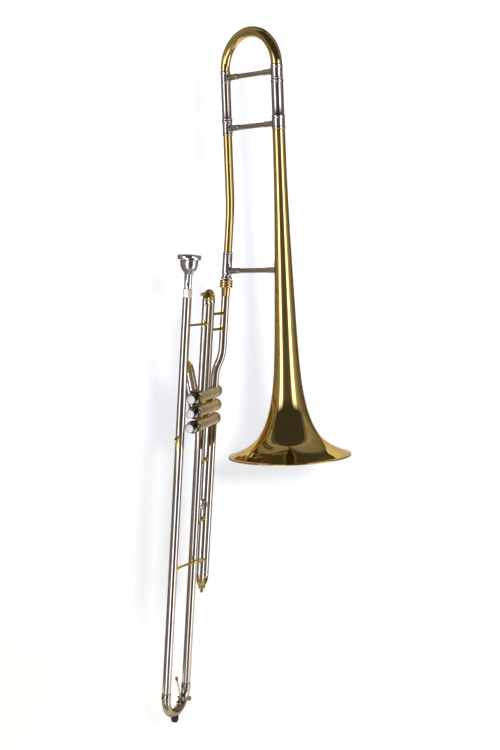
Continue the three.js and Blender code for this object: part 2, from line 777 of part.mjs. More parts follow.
function buildValve(number) {
  const drop = valveDrop(number);
  const label = ['first', 'second', 'third'][number];
  const along = (geometry, x) => aimed(geometry, spot(x, 0, drop), spot(x + overrun, 0, drop));
  const cap = valve;
  const topCap = turned([
    [cap.topCapRadius - cap.topCapTop / 2, 0], [cap.topCapRadius, cap.topCapTop / 2],
    [cap.topCapRadius, cap.topCapLength - seam], [cap.spigotRadius, cap.topCapLength - seam],
    [cap.spigotRadius, cap.topCapLength + cap.spigotLength],
    [cap.spigotRadius - cap.spigotWall, cap.topCapLength + cap.spigotLength],
    [cap.spigotRadius - cap.spigotWall, cap.topCapLength - seam],
    [piston.stemHoleRadius, cap.topCapLength - seam], [piston.stemHoleRadius, 0],
  ], roundSides.casing);
  add(`${label}_valve_top_cap`, along(topCap, cap.casingStart - cap.topCapLength), nickel);

  const bottomCap = turned([
    [cap.spigotRadius, -cap.spigotLength], [cap.spigotRadius, seam],
    [cap.bottomCapRadius, seam], [cap.bottomCapRadius, cap.bottomCapLength - cap.bottomCapTop],
    [cap.bottomCapRadius - cap.bottomCapTop, cap.bottomCapLength],
    [0, cap.bottomCapLength], [0, 0],
    [cap.spigotRadius - cap.spigotWall, 0], [cap.spigotRadius - cap.spigotWall, -cap.spigotLength],
  ], roundSides.casing);
  add(`${label}_valve_bottom_cap`, along(bottomCap, cap.casingEnd), rawBrass);

  const body = turned([
    [0, button.length + seam], [piston.stemRadius, button.length + seam],
    [piston.stemRadius, piston.start], [piston.radius, piston.start],
    [piston.radius, piston.start + piston.length],
    [piston.springSeatRadius, piston.start + piston.length],
    [piston.springSeatRadius, piston.start + piston.length + piston.springSeatLength],
    [0, piston.start + piston.length + piston.springSeatLength],
  ], roundSides.casing);
  const bores = crossBoreShares.map((share) => aimed(
    rod(piston.crossBore, 4 * piston.radius, roundSides.small),
    at(0, -2 * piston.radius, piston.start + share * piston.length),
    at(0, 2 * piston.radius, piston.start + share * piston.length)));
  add(`${label}_valve_piston`, along(cut(body, ...bores), 0), nickel);

  const cup = turned([
    [0, button.pearlLength + seam], [button.pearlRadius + seam, button.pearlLength + seam],
    [button.pearlRadius + seam, 0], [button.radius - seam, 0], [button.radius, seam],
    [button.radius, button.length], [0, button.length],
  ].reverse(), roundSides.tube);
  const disc = turned([
    [0, 0], [button.pearlRadius - seam, 0], [button.pearlRadius, seam],
    [button.pearlRadius, button.pearlLength], [0, button.pearlLength],
  ], roundSides.tube);
  add(`${label}_valve_button`, along(cup, 0), nickel);
  add(`${label}_button_pearl`, along(disc, 0), pearl);

  const springStart = piston.start + piston.length + seam + valveSpring.wireRadius;
  const springEnd = valve.casingEnd - seam - valveSpring.wireRadius;
  add(`${label}_valve_spring`, along(coil(springEnd - springStart), springStart), steel);
}

class Helix extends THREE.Curve {
  constructor(radius, length, turns) {
    super();
    Object.assign(this, { radius, length, turns });
  }

  getPoint(share) {
    const angle = 2 * Math.PI * this.turns * share;
    return at(this.radius * Math.cos(angle), this.radius * Math.sin(angle), this.length * share);
  }
}

function coil(length) {
  const curve = new Helix(valveSpring.radius, length, valveSpring.turns);
  const wire = new THREE.Shape();
  wire.absarc(0, 0, valveSpring.wireRadius, 0, 2 * Math.PI);
  return new THREE.ExtrudeGeometry(wire, {
    steps: valveSpring.turns * valveSpring.stepsPerTurn,
    curveSegments: valveSpring.arcSides,
    bevelEnabled: false,
    extrudePath: curve,
  });
}

// A valve slide: two outer tubes soldered to a casing, and an inner U that draws out of them.
// Its own frame has +Z from the casing towards the bow, with the legs at x = 0 and x = spacing.
function valveSlide(name, frame, outerStart, outerLength, inside, cutters, knob) {
  const tube = slideTube;
  const bore = tube.radius - tube.wall;
  const innerRadius = bore - seam;
  const placed = (geometry) => geometry.clone().applyMatrix4(frame);
  const legs = [0, tube.legSpacing];
  const outerTubes = legs.map((x) => placed(turned([
    [tube.radius, outerStart], [tube.radius, outerLength - tube.sleeveLength],
    [tube.sleeveRadius, outerLength - tube.sleeveLength], [tube.sleeveRadius, outerLength],
    [bore, outerLength], [bore, outerStart],
  ]).translate(x, 0, 0)));
  for (const [i, one] of outerTubes.entries()) {
    const label = ['front', 'rear'][i];
    add(`${name}_slide_${label}_tube`, geometryOf(largestPart(solidOf(cut(one, ...cutters)))), nickel);
  }

  const bowStart = outerLength + seam;
  const legBottom = outerLength - inside;
  const innerBore = innerRadius - tube.innerWall;
  const path = new THREE.CurvePath();
  const [near, far] = legs.map((x) => at(x, 0, bowStart));
  const turn = new HalfTurn(near, far, up);
  path.add(new THREE.LineCurve3(at(near.x, 0, legBottom), near));
  path.add(turn);
  path.add(new THREE.LineCurve3(far, at(far.x, 0, legBottom)));
  const shares = pathShares(path, bendSteps.slideBow);
  const round = shares.slice(1, -1).map((share) => [share, tube.radius]);
  const outerRings = [
    [0, innerRadius], [round[0][0], innerRadius], ...round, [round[round.length - 1][0], innerRadius],
    [1, innerRadius],
  ];
  const boreRings = shares.map((share) => [share, innerBore]);
  const pieces = [sweptTube(path, turn.normal, outerRings, boreRings)];
  if (knob) {
    const crown = bowStart + tube.legSpacing / 2 + tube.radius;
    const head = turned([
      [0, 0], [slideKnob.footRadius, 0], [slideKnob.footRadius, slideKnob.footLength],
      [slideKnob.stemRadius, slideKnob.footLength + slideKnob.stemRadius],
      [slideKnob.stemRadius, knob - slideKnob.ballRadius],
      [slideKnob.ballRadius, knob - slideKnob.ballRadius / 2],
      [slideKnob.ballRadius, knob + slideKnob.ballRadius / 2],
      [slideKnob.stemRadius, knob + slideKnob.ballRadius], [0, knob + slideKnob.ballRadius],
    ], roundSides.small).translate(tube.legSpacing / 2, 0, crown - tube.wall);
    pieces.push(head);
  }
  add(`${name}_slide_inner_bow`, placed(join(...pieces)), brass);
}

function buildSlides() {
  const first = new THREE.Matrix4().setPosition(spot(place.firstSlide, 0, valveDrop(0)));
  const half = slideTube.legSpacing / 2;
  const bowHeight = half + slideTube.radius;
  valveSlide('first', first, valve.casingRadius / 2, valveDrop(0) - firstSlide.top - bowHeight + half,
    firstSlide.inside, [casingTool(0, valve.casingRadius + seam)], 0);

  const third = new THREE.Matrix4().makeRotationX(Math.PI)
    .setPosition(spot(place.thirdSlide, 0, valveDrop(2)));
  valveSlide('third', third, valve.casingRadius / 2, thirdSlide.bottom - valveDrop(2),
    thirdSlide.inside, [casingTool(2, valve.casingRadius + seam)], thirdSlide.knobLength);

  const second = new THREE.Matrix4().makeRotationX(radians(-secondSlide.lean))
    .setPosition(spot(place.secondSlide, valve.casingRadius + slideTube.radius / 2, valveDrop(1)));
  valveSlide('second', second, 0, secondSlide.length, secondSlide.inside,
    [casingTool(1, valve.casingRadius + seam), casingTool(0, valve.casingRadius + seam)], 0);
}

// Tubes of the valve section

function buildTubes() {
  const tube = leadTube;
  const bore = tube.radius - tube.wall;
  const tubeEnd = bow.drop - seam;
  const lip = receiver;
  const lipEnd = lip.top + lip.length;
  const lipRadius = shankRadiusAt(lip.top) + seam + lip.wall;
  const lead = turned([
    [tube.radius, -tubeEnd], [tube.radius, -lipEnd - seam],
    [lipRadius, -lipEnd], [lipRadius, -lip.top - lip.ringHeight],
    [lipRadius + lip.ringDepth, -lip.top - lip.ringHeight], [lipRadius + lip.ringDepth, -lip.top],
    [shankRadiusAt(lip.top) + seam, -lip.top], [shankRadiusAt(lipEnd) + seam, -lipEnd],
    [bore, -mouthpiece.shankEnd - seam], [bore, -tubeEnd],
  ]).translate(...spot(place.lead.x, place.lead.y, 0));
  add('lead_tube', lead, nickel);

  const casingDrop = valveDrop(valve.count - 1);
  const back = pipe(tube.radius, bore, tubeEnd - casingDrop);
  back.translate(...spot(place.back.x, place.back.y, tubeEnd));
  add('back_tube', cut(back, casingTool(valve.count - 1, valve.casingRadius + seam)), nickel);

  const joint = neckJoint;
  const neckTop = joint.collarBottom + seam;
  const bendTop = neckBendTop();
  const bendBottom = bendTop + neckTube.bendLength;
  const points = [
    spot(place.neck.x, place.neck.y, neckTop),
    spot(place.neck.x, place.neck.y, bendTop),
    spot(place.neckPort, 0, bendBottom),
    spot(place.neckPort, 0, valveDrop(0) - valve.casingRadius / 2),
  ];
  const path = new THREE.CurvePath();
  const middle = (bendTop + bendBottom) / 2;
  path.add(new THREE.LineCurve3(points[0], points[1]));
  path.add(new THREE.CubicBezierCurve3(points[1], spot(place.neck.x, place.neck.y, middle),
    spot(place.neckPort, 0, middle), points[2]));
  path.add(new THREE.LineCurve3(points[2], points[3]));
  const sideways = points[0].clone().sub(points[3]).setZ(0).cross(up).normalize();
  const neck = bentTube(path, pathShares(path, bendSteps.neckTube), sideways,
    () => neckTube.radius, () => neckTube.radius - neckTube.wall);
  add('neck_tube', cut(neck, casingTool(0, valve.casingRadius + seam)), nickel);

  const threadRadius = joint.nutRadius - joint.nutWall - 2 * seam;
  const collarBore = joint.tenonRadius + seam;
  const collar = turned([
    [joint.collarFootRadius, -joint.collarBottom],
    [joint.collarRadius, -joint.nutBottom - seam],
    [threadRadius, -joint.nutBottom],
    [threadRadius, -joint.threadTop],
    [collarBore, -joint.threadTop], [collarBore, -joint.collarBottom],
  ]);
  add('neck_collar', collar, brass);
}

// Lower bow: its two ends, the point halfway between them, and their distance

function bowFrame() {
  const from = spot(place.back.x, place.back.y, bow.drop);
  const to = spot(place.lead.x, place.lead.y, bow.drop);
  return { from, to, middle: from.clone().add(to).multiplyScalar(0.5), span: from.distanceTo(to) };
}

// A frame on the bow's tube `round` degrees from the back tube's end: out of the bow, along it
// and square to its plane.
function bowPlace(round) {
  const { from, to, middle, span } = bowFrame();
  const angle = radians(round);
  const across = from.clone().sub(to).normalize();
  const out = across.clone().multiplyScalar(Math.cos(angle)).addScaledVector(up, -Math.sin(angle));
  const side = across.clone().cross(up);
  const along = out.clone().cross(side).normalize();
  return { centre: middle.clone().addScaledVector(out, span / 2), out, side, along };
}

const bowCurve = () => new HalfTurn(bowFrame().from, bowFrame().to, at(0, 0, -1));

// The bow's tube, thicker by the seam and all but solid, for cutting what is seated on it.
function swollenBow() {
  const curve = bowCurve();
  return bentTube(curve, evenShares(bendSteps.lowerBow), curve.normal,
    () => bow.radius + seam, () => seam);
}

function buildBow() {
  const { from, to } = bowFrame();
  const curve = bowCurve();
  const bore = () => bow.radius - bow.wall;
  const ferrule = turned([
    [bow.radius + seam + bow.ferruleWall, -bow.ferruleBelow],
    [bow.radius + seam + bow.ferruleWall, bow.ferruleLength - bow.ferruleBelow],
    [bow.radius + seam, bow.ferruleLength - bow.ferruleBelow],
    [bow.radius + seam, -seam / 2],
    [bow.radius - bow.wall / 2, -seam / 2],
    [bow.radius - bow.wall / 2, -bow.ferruleBelow],
  ]);
  const facing = Math.atan2(to.y - from.y, to.x - from.x);
  const ferrules = [from, to].map((end) => ferrule.clone().rotateZ(facing).translate(...end));
  const crook = bentTube(curve, evenShares(bendSteps.lowerBow), curve.normal, () => bow.radius, bore);
  add('lower_bow', cut(join(crook, ...ferrules, drainNipple()), drainHole()), nickel);
  const inflated = swollenBow();

  const crown = bowPlace(90);
  const foot = turned([
    [0, 0], [bumper.radius, 0], [bumper.radius, bow.radius + bumper.length - bumper.radius / 2],
    [bumper.footRadius, bow.radius + bumper.length], [0, bow.radius + bumper.length],
  ]);
  const footEnd = crown.centre.clone().add(crown.out);
  const bumperSolid = cut(aimed(foot, crown.centre, footEnd), inflated);
  add('bow_bumper', geometryOf(outermost(bumperSolid)), rubber);

  const stud = bowPlace(sideCork.round);
  const direction = stud.out.clone().add(stud.side).normalize();
  const studEnd = stud.centre.clone().add(direction);
  const plug = turned([[0, 0], [sideCork.radius, 0],
    [sideCork.radius, bow.radius + sideCork.length - 2 * seam],
    [sideCork.radius - 2 * seam, bow.radius + sideCork.length], [0, bow.radius + sideCork.length]],
  roundSides.small);
  add('bow_side_cork', geometryOf(outermost(cut(aimed(plug, stud.centre, studEnd), inflated))), cork);
}

// What is left of a cut solid outside the tube: its largest part.
const outermost = (geometry) => largestPart(solidOf(geometry));

// Water key: its own frame has +Z out of the tube on the bow's inner side, +X up along the tube

const keySpots = {
  pinHeight: bow.radius + waterKey.pinHeight,
  armBottom: bow.radius + waterKey.pinHeight + waterKey.hubRadius - waterKey.armThickness,
  padX: -waterKey.hubRadius / 2 - waterKey.corkReach,
};

function keyFrame() {
  const here = bowPlace(waterKey.round);
  const inwards = here.out.clone().negate();
  const lengthwise = here.along.clone().multiplyScalar(Math.sign(here.along.z));
  return new THREE.Matrix4().makeBasis(lengthwise, inwards.clone().cross(lengthwise), inwards)
    .setPosition(here.centre);
}

// The drain's nipple stands on the bow's inner side, under the key's cork.
function drainNipple() {
  const top = keySpots.armBottom - waterKey.corkLength - 2 * seam;
  return rod(waterKey.nippleRadius, top - bow.radius + bow.wall, roundSides.small)
    .translate(keySpots.padX, 0, bow.radius - bow.wall).applyMatrix4(keyFrame());
}

function drainHole() {
  return rod(waterKey.drainRadius, waterKey.pinHeight + bow.radius, roundSides.small)
    .translate(keySpots.padX, 0, bow.radius / 2).applyMatrix4(keyFrame());
}

function buildWaterKey() {
  const key = waterKey;
  const frame = keyFrame();
  const placed = (geometry) => geometry.clone().applyMatrix4(frame);
  const inflated = swollenBow();

  const base = rod(key.saddleRadius, bow.radius + key.saddleHeight, roundSides.small);
  const pinZ = keySpots.pinHeight;
  const postHeight = pinZ + key.hubRadius - bow.radius;
  const posts = [-1, 1].map((side) => block(key.postWidth, key.postThickness, postHeight)
    .translate(0, side * (key.postSpacing - key.postThickness) / 2, bow.radius));
  const pin = rod(key.pinRadius, key.postSpacing - seam, roundSides.small)
    .translate(0, 0, -(key.postSpacing - seam) / 2).rotateX(Math.PI / 2).translate(0, 0, pinZ);
  const saddle = outermost(cut(placed(join(base, ...posts, pin)), inflated));

  const inner = key.postSpacing - 2 * key.postThickness - 2 * seam;
  const barrel = pipe(key.hubRadius, key.pinRadius + seam, inner, roundSides.small)
    .translate(0, 0, -inner / 2).rotateX(Math.PI / 2).translate(0, 0, pinZ);
  const armZ = keySpots.armBottom;
  const lever = (width, length, start) => block(width, key.armThickness, length)
    .translate(0, 0, start).rotateZ(Math.PI / 2);
  const turnedUp = (geometry) => geometry.rotateY(radians(90 - key.armTurn)).translate(0, 0, pinZ);
  const armStart = key.pinRadius + 2 * seam;
  const arm = turnedUp(lever(key.armWidth, key.armLength, armStart));
  const thumb = turnedUp(lever(key.thumbWidth, key.thumbLength, key.armLength));
  const tail = block(key.corkReach, key.armWidth, key.armThickness)
    .translate(-key.hubRadius / 2 - key.corkReach / 2, 0, armZ);
  const pad = rod(key.corkRadius + key.armThickness / 2, key.armThickness, roundSides.small)
    .translate(-key.hubRadius / 2 - key.corkReach, 0, armZ);
  add('water_key_lever', placed(join(barrel, arm, thumb, tail, pad)), nickel);

  const padZ = armZ - seam - key.corkLength;
  const { padX } = keySpots;
  const corkPad = rod(key.corkRadius, key.corkLength, roundSides.small).translate(padX, 0, padZ);
  add('water_key_cork', placed(corkPad), cork);
  add('water_key_saddle', geometryOf(saddle), nickel);
}

// Mouthpiece and its receiver

function shankRadiusAt(drop) {
  const start = mouthpiece.top + mouthpiece.cupLength;
  const part = (drop - start) / (mouthpiece.shankEnd - start);
  return mouthpiece.waistRadius + part * (mouthpiece.shankRadius - mouthpiece.waistRadius);
}

function buildMouthpiece() {
  const piece = mouthpiece;
  const cupEnd = piece.top + piece.cupLength;
  const fall = (radius, drop) => [radius, -drop];
  const edge = (piece.rimRadius - piece.rimInner - piece.rimFlat) / 2;
  const cupStep = (piece.cupLength - piece.rimLength) / 3;
  const profile = [
    fall(piece.shankRadius, piece.shankEnd),
    fall(piece.waistRadius, cupEnd),
    fall(piece.cupLowRadius, cupEnd - cupStep),
    fall(piece.cupMiddleRadius, cupEnd - 2 * cupStep),
    fall(piece.cupRadius, piece.top + piece.rimLength),
    fall(piece.rimRadius, piece.top + piece.rimLength - edge),
    fall(piece.rimRadius, piece.top + edge),
    fall(piece.rimRadius - edge, piece.top),
    fall(piece.rimInner + edge, piece.top),
    fall(piece.rimInner, piece.top + edge),
    fall(piece.rimInner - edge, piece.top + piece.cupDepth / 2),
    fall((piece.rimInner + piece.throatRadius) / 2, piece.top + piece.cupDepth - piece.throatLength),
    fall(piece.throatRadius, piece.top + piece.cupDepth),
    fall(piece.throatRadius, piece.top + piece.cupDepth + piece.throatLength),
    fall(piece.boreEndRadius, piece.shankEnd),
  ];
  const cupShape = turned(profile, roundSides.casing);
  add('mouthpiece', cupShape.translate(...spot(place.lead.x, place.lead.y, 0)), silver);
}

// Braces, finger hook and lyre holder

function buildFittings() {
  const tube = leadTube.radius;
  const point = ({ x, y }, drop) => spot(x, y, drop);
  const fixed = (one, drop, radius) => upright(point(one, drop), radius);
  const firstLeg = { x: place.firstSlide, y: 0 };
  const firstFarLeg = { x: place.firstSlide + slideTube.legSpacing, y: 0 };
  const thirdLeg = { x: place.thirdSlide, y: 0 };
  const leg = slideTube.radius;

  const firstDrop = valve.drop - strut.leadToFirstRise;
  const bowBraceDrop = bow.drop - strut.leadToBackRise;
  add('mouthpipe_brace', brace(strut, fixed(place.lead, firstDrop, tube),
    fixed(firstLeg, firstDrop, leg)), brass);
  const order = ['upper', 'lower'];
  const neckTop = neckJoint.collarBottom;
  const neckRun = neckBendTop() - neckTop;
  neckStrutShares.forEach((share, i) => add(`${order[i]}_neck_strut`, brace(strut,
    fixed(firstFarLeg, neckTop + share * neckRun, leg),
    fixed(place.neck, neckTop + share * neckRun, neckTube.radius)), brass));

  const beside = (one, drop, offset, radius) => ({
    point: spot(one.x, one.y - offset, drop), axis: point(one, drop), along: up, radius,
  });
  strut.backFalls.forEach((fall, i) => add(`${order[i]}_third_slide_strut`, brace(strut,
    beside(place.back, valve.drop + fall, strut.offset, tube),
    fixed(thirdLeg, valve.drop + fall, leg)), brass));
  add('bow_brace', brace(strut,
    beside(place.lead, bowBraceDrop, strut.offset, tube),
    beside(place.back, bowBraceDrop, strut.flank, tube)), brass);

  add('finger_hook', fingerHook(), brass);
}

// A strip that leaves its plate on the lead tube at the top and curls out and down.
function fingerHook() {
  const tube = leadTube.radius + seam;
  const arc = new THREE.Shape();
  const start = radians(180);
  const end = radians(180 - hook.sweep);
  arc.absarc(0, 0, hook.radius, start, end, true);
  arc.absarc(0, 0, hook.radius - hook.thickness, end, start, false);
  const strip = { depth: hook.width, bevelEnabled: false, curveSegments: bendSteps.hook };
  const curl = new THREE.ExtrudeGeometry(arc, strip)
    .translate(tube + hook.plateThickness / 2 + hook.radius, -hook.radius, -hook.width / 2)
    .rotateX(Math.PI / 2);
  const sheath = pipe(tube + hook.plateThickness, tube, hook.plateHeight, roundSides.casing)
    .translate(0, 0, -hook.plateHeight);
  const window = block(2 * tube, hook.plateWidth, hook.plateHeight + 2 * overrun)
    .translate(tube, 0, -hook.plateHeight - overrun);
  const plate = geometryOf(solidOf(sheath).intersect(solidOf(window)));
  return join(curl, plate).rotateZ(radians(90 - hook.turn))
    .translate(...spot(place.lead.x, place.lead.y, hook.drop));
}

function buildLyreHolder() {
  const holder = lyre;
  const wide = slideTube.radius + holder.depth;
  const x = place.thirdSlide - slideTube.radius - seam - holder.depth / 2;
  const bottom = holder.drop + holder.height;
  const box = block(wide, holder.width, holder.height)
    .translate(...spot(place.thirdSlide - seam - wide / 2, 0, bottom));
  const slot = block(holder.holeWidth, holder.holeWidth, holder.height + 2 * overrun)
    .translate(...spot(x, 0, bottom + overrun));
  const middle = spot(x, 0, holder.drop + holder.height / 2);
  const front = spot(x - overrun, 0, holder.drop + holder.height / 2);
  const threadHole = aimed(rod(holder.screwRadius + seam, 2 * holder.depth, roundSides.small), middle, front);
  const tubeTool = rod(slideTube.radius + seam, 2 * holder.height, roundSides.casing)
    .translate(...spot(place.thirdSlide, 0, bottom + holder.height / 2));
  add('lyre_holder', geometryOf(outermost(cut(box, slot, threadHole, tubeTool))), nickel);

  const tip = holder.holeWidth / 4;
  const screw = turned([
    [0, tip], [holder.screwRadius, tip], [holder.screwRadius, holder.screwReach],
    [holder.headRadius, holder.screwReach],
    [holder.headRadius, holder.screwReach + holder.headThickness],
    [0, holder.screwReach + holder.headThickness],
  ], roundSides.small);
  add('lyre_screw', aimed(screw, middle, front), nickel);
}

buildBell();
buildNeck();
buildTuningSlide();
for (let number = 0; number < valve.count; number += 1) buildValve(number);
add('valve_block', valveBlock(), rawBrass);
buildSlides();
buildTubes();
buildBow();
buildWaterKey();
buildMouthpiece();
buildFittings();
buildLyreHolder();

export default trombone;
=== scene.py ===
# Valve trombone: the visible pieces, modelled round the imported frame.
# Sizes are written in millimetres and turned into metres by the helpers.

import json
import math

import bpy
from bpy.props import FloatProperty, FloatVectorProperty, PointerProperty
from mathutils import Matrix, Vector

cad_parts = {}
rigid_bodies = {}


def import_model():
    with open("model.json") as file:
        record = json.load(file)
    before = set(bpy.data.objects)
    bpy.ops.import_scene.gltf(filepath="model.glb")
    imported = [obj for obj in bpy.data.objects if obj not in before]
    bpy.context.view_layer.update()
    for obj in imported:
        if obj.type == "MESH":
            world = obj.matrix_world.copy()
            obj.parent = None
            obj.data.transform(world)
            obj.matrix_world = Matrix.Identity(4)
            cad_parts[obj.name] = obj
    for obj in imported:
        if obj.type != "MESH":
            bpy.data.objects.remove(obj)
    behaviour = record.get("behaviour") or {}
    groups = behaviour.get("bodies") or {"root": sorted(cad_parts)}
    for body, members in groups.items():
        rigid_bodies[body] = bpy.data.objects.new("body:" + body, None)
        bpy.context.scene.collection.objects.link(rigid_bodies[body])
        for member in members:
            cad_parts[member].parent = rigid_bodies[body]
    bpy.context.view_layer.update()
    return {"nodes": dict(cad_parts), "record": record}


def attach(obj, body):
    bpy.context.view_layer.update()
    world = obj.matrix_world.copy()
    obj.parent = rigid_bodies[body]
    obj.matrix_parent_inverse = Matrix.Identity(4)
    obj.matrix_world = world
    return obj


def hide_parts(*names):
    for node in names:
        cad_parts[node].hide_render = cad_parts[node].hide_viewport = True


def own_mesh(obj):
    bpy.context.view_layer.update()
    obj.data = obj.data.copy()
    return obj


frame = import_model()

bl_info = {
    "name": "Valve trombone",
    "version": (1, 0, 0),
    "blender": (4, 5, 0),
    "location": "View3D > Sidebar > Trombone",
    "description": "Builds the visible pieces of a valve trombone and its studio",
    "category": "Object",
}

MM = 0.001
WELD = 0.000002          # metres within which doubled points merge

# Layout of the instrument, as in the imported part
LEG_SPACING = 115
BEND = (-115, 0, 412)    # where the neckpipe turns out of line with the bell
BEND_ANGLE = 5.6
BEND_HEADING = 28.1
VALVE_HEADING = 117.5
NECK = (131, -9.7)
LEAD = (-8.5, 11.9)
BACK = (58, 0)
NECK_PORT = 128
FIRST_LEG = 58.5
SECOND_LEG = 60
THIRD_LEG = 108
LEG_GAP = 21
KNUCKLES = (112, 84)
VALVE_DROP = 311.5
VALVE_SPACING = 23.6
CASING_END = 136
CASING = 10
PISTON_END = 103
BAND_END = 35            # where the casings' polished band meets the satin brass
TUBE = 7.15
NECK_TUBE = 6.8
FIRST_SLIDE_END = 146    # drops of the slides' ends
THIRD_SLIDE_END = 632
SECOND_SLIDE = 64        # its length
HOOK_DROP = 382
LYRE_DROP = 502.5
BOW_DROP = 810
KEY_ANGLE = 38           # degrees round the lower bow from the back tube's end
STUD_ANGLE = 28
NIPPLE = -9.1            # the water key's nipple, down along the bow from the key's pin
RECEIVER_TURN = 11       # from the camera to a corner of the mouthpiece receiver's ring
NAMES = ("first", "second", "third")

# The photograph's camera
CAMERA_AZIMUTH = 43.6
CAMERA_ELEVATION = 5.33
CAMERA_ROLL = -2.108
CAMERA_OFFSET = (65.79, -133.64, -2353.6)   # the object's origin, to the right, up and back
FOCAL_PIXELS = 1430.5
PICTURE_HEIGHT = 750
SENSOR = 24

# Height up the bell and radius, as shares of the bell's height and of its rim radius
FLARE = (
    (0.004, 0.976), (0.014, 0.868), (0.03, 0.7), (0.052, 0.548), (0.08, 0.445), (0.115, 0.361),
    (0.16, 0.294), (0.23, 0.234), (0.34, 0.193), (0.5, 0.16), (0.7, 0.125), (0.86, 0.107), (1, 0.1024),
)


def distance(title, use, value):
    return FloatProperty(name=title, description=use, default=value, unit="LENGTH", subtype="DISTANCE")


def colour(title, use, value):
    return FloatVectorProperty(name=title, description=use, default=value, subtype="COLOR", min=0, max=1)


class BellSizes(bpy.types.PropertyGroup):
    rim_radius: distance("Rim radius", "Outer radius of the bell's rolled rim", 0.1016)
    bead_radius: distance("Bead radius", "Radius of the wire rolled into the rim", 0.0015)
    height: distance("Height", "Height of the flare, from the rim to its ferrule", 0.5315)
    wall: distance("Wall", "Thickness of the bell's sheet", 0.0007)


class TubeSizes(bpy.types.PropertyGroup):
    wall: distance("Tube wall", "Thickness of the tubes' walls", 0.0006)
    flange: distance("Flange thickness", "Thickness of the plates under the braces", 0.0009)
    knurl_depth: distance("Knurl depth", "Depth of the grooves in caps and nut", 0.0003)


class Finishes(bpy.types.PropertyGroup):
    brass: colour("Brass", "Lacquered brass of the bell and bows", (0.78, 0.55, 0.185))
    casing: colour("Casing brass", "Satin brass of the valve casings", (0.84, 0.67, 0.4))
    nickel: colour("Nickel silver", "Polished tubes, caps and braces", (0.66, 0.575, 0.455))
    silver: colour("Silver plate", "Mouthpiece", (0.74, 0.69, 0.63))
    pearl: colour("Pearl", "Discs in the valve buttons", (0.66, 0.64, 0.58))
    steel: colour("Spring steel", "Valve springs", (0.46, 0.46, 0.47))
    rubber: colour("Rubber", "Bumper under the lower bow", (0.006, 0.006, 0.006))
    cork: colour("Cork", "Pads of the water key and the bow's stud", (0.42, 0.19, 0.07))
    backdrop: colour("Backdrop", "Floor and wall of the studio", (0.9, 0.885, 0.81))


# Places

def moved(x, y, z):
    return Matrix.Translation(Vector((x, y, z)) * MM)


def turn_about(degrees, axis):
    return Matrix.Rotation(math.radians(degrees), 4, axis)


def heading(degrees):
    return Vector((math.cos(math.radians(degrees)), math.sin(math.radians(degrees)), 0))


WORLD = Matrix.Identity(4)
UP = Vector((0, 0, 1))
RIGHT = heading(CAMERA_AZIMUTH)
LEVEL = RIGHT.cross(UP)          # from the instrument towards the camera
BACKWARD = LEVEL * math.cos(math.radians(CAMERA_ELEVATION)) + UP * math.sin(math.radians(CAMERA_ELEVATION))
CAMERA_UP = BACKWARD.cross(RIGHT)
BEND_SIDE = heading(BEND_HEADING)
NECK_AXIS = moved(-LEG_SPACING, 0, 0)
NECK_FRAME = moved(*BEND) @ turn_about(BEND_ANGLE, UP.cross(BEND_SIDE))
LAYOUT = NECK_FRAME @ turn_about(VALVE_HEADING, "Z") @ moved(-NECK[0], -NECK[1], 0)


def spot(x, y, drop):
    """A place in the valve section, from its layout's x and y and the drop below the bend."""
    return LAYOUT @ (Vector((x, y, -drop)) * MM)


def at_spot(x, y, drop):
    return LAYOUT @ moved(x, y, -drop)


def way(x, y, z):
    """A direction of the valve section's layout."""
    return LAYOUT.to_3x3() @ Vector((x, y, z))


LAYOUT_UP = way(0, 0, 1)
VALVE_STEP = LAYOUT_UP * -VALVE_SPACING * MM


def toward(start, end, side=None):
    """A frame at start with +Z towards end, and +X as near side as it can be."""
    along = (end - start).normalized()
    side = side or (UP if abs(along.z) < 0.9 else Vector((1, 0, 0)))
    across = (side - along * side.dot(along)).normalized()
    return Matrix.Translation(start) @ Matrix((across, along.cross(across), along)).transposed().to_4x4()


# Modelling helpers

def mode(name):
    bpy.ops.object.mode_set(mode=name)


def named(piece, name):
    piece.name = piece.data.name = name
    return piece


def alone(piece):
    if bpy.context.object and bpy.context.object.mode != "OBJECT":
        mode("OBJECT")
    bpy.ops.object.select_all(action="DESELECT")
    piece.select_set(True)
    bpy.context.view_layer.objects.active = piece


def edit(piece, chosen="SELECT"):
    alone(piece)
    mode("EDIT")
    bpy.ops.mesh.select_mode(type="VERT")
    bpy.ops.mesh.select_all(action=chosen)


def applied(piece):
    """Puts a piece's place and scale into its mesh."""
    alone(piece)
    bpy.ops.object.transform_apply(location=True, rotation=True, scale=True)
    return piece


def settled(piece, place=WORLD):
    """Moves a piece to its place and leaves its object at the origin."""
    alone(piece)
    piece.matrix_world = place @ piece.matrix_world
    return applied(piece)


def stretched(piece, x):
    """Stretches a piece along its own X."""
    edit(piece)
    bpy.ops.transform.resize(value=(x, 1, 1), center_override=(0, 0, 0))
    mode("OBJECT")
    return piece


def smoothed(piece, angle=32):
    alone(piece)
    bpy.ops.object.shade_smooth_by_angle(angle=math.radians(angle))
    return piece


def modified(piece, kind, **settings):
    """Puts a modifier on a piece and applies it."""
    alone(piece)
    change = piece.modifiers.new(kind.title(), kind)
    for name, value in settings.items():
        setattr(change, name, value)
    bpy.ops.object.modifier_apply(modifier=change.name)
    return piece


def softened(points, radius, closed=True):
    """A profile with each corner cut to a small round of three points."""
    points = [Vector(p) for p in points]
    result = []
    for i, here in enumerate(points):
        before, after = points[i - 1] - here, points[(i + 1) % len(points)] - here
        last_point = not closed and i in (0, len(points) - 1)
        if last_point or here.x < 0.001 or before.length == 0 or after.length == 0 or (
                before.normalized().dot(after.normalized()) < -0.97):
            result.append(here)
            continue
        reach = min(radius, before.length * 0.45, after.length * 0.45)
        first, last = here + before.normalized() * reach, here + after.normalized() * reach
        result += [first, (first + last) * 0.25 + here * 0.5, last]
    return result


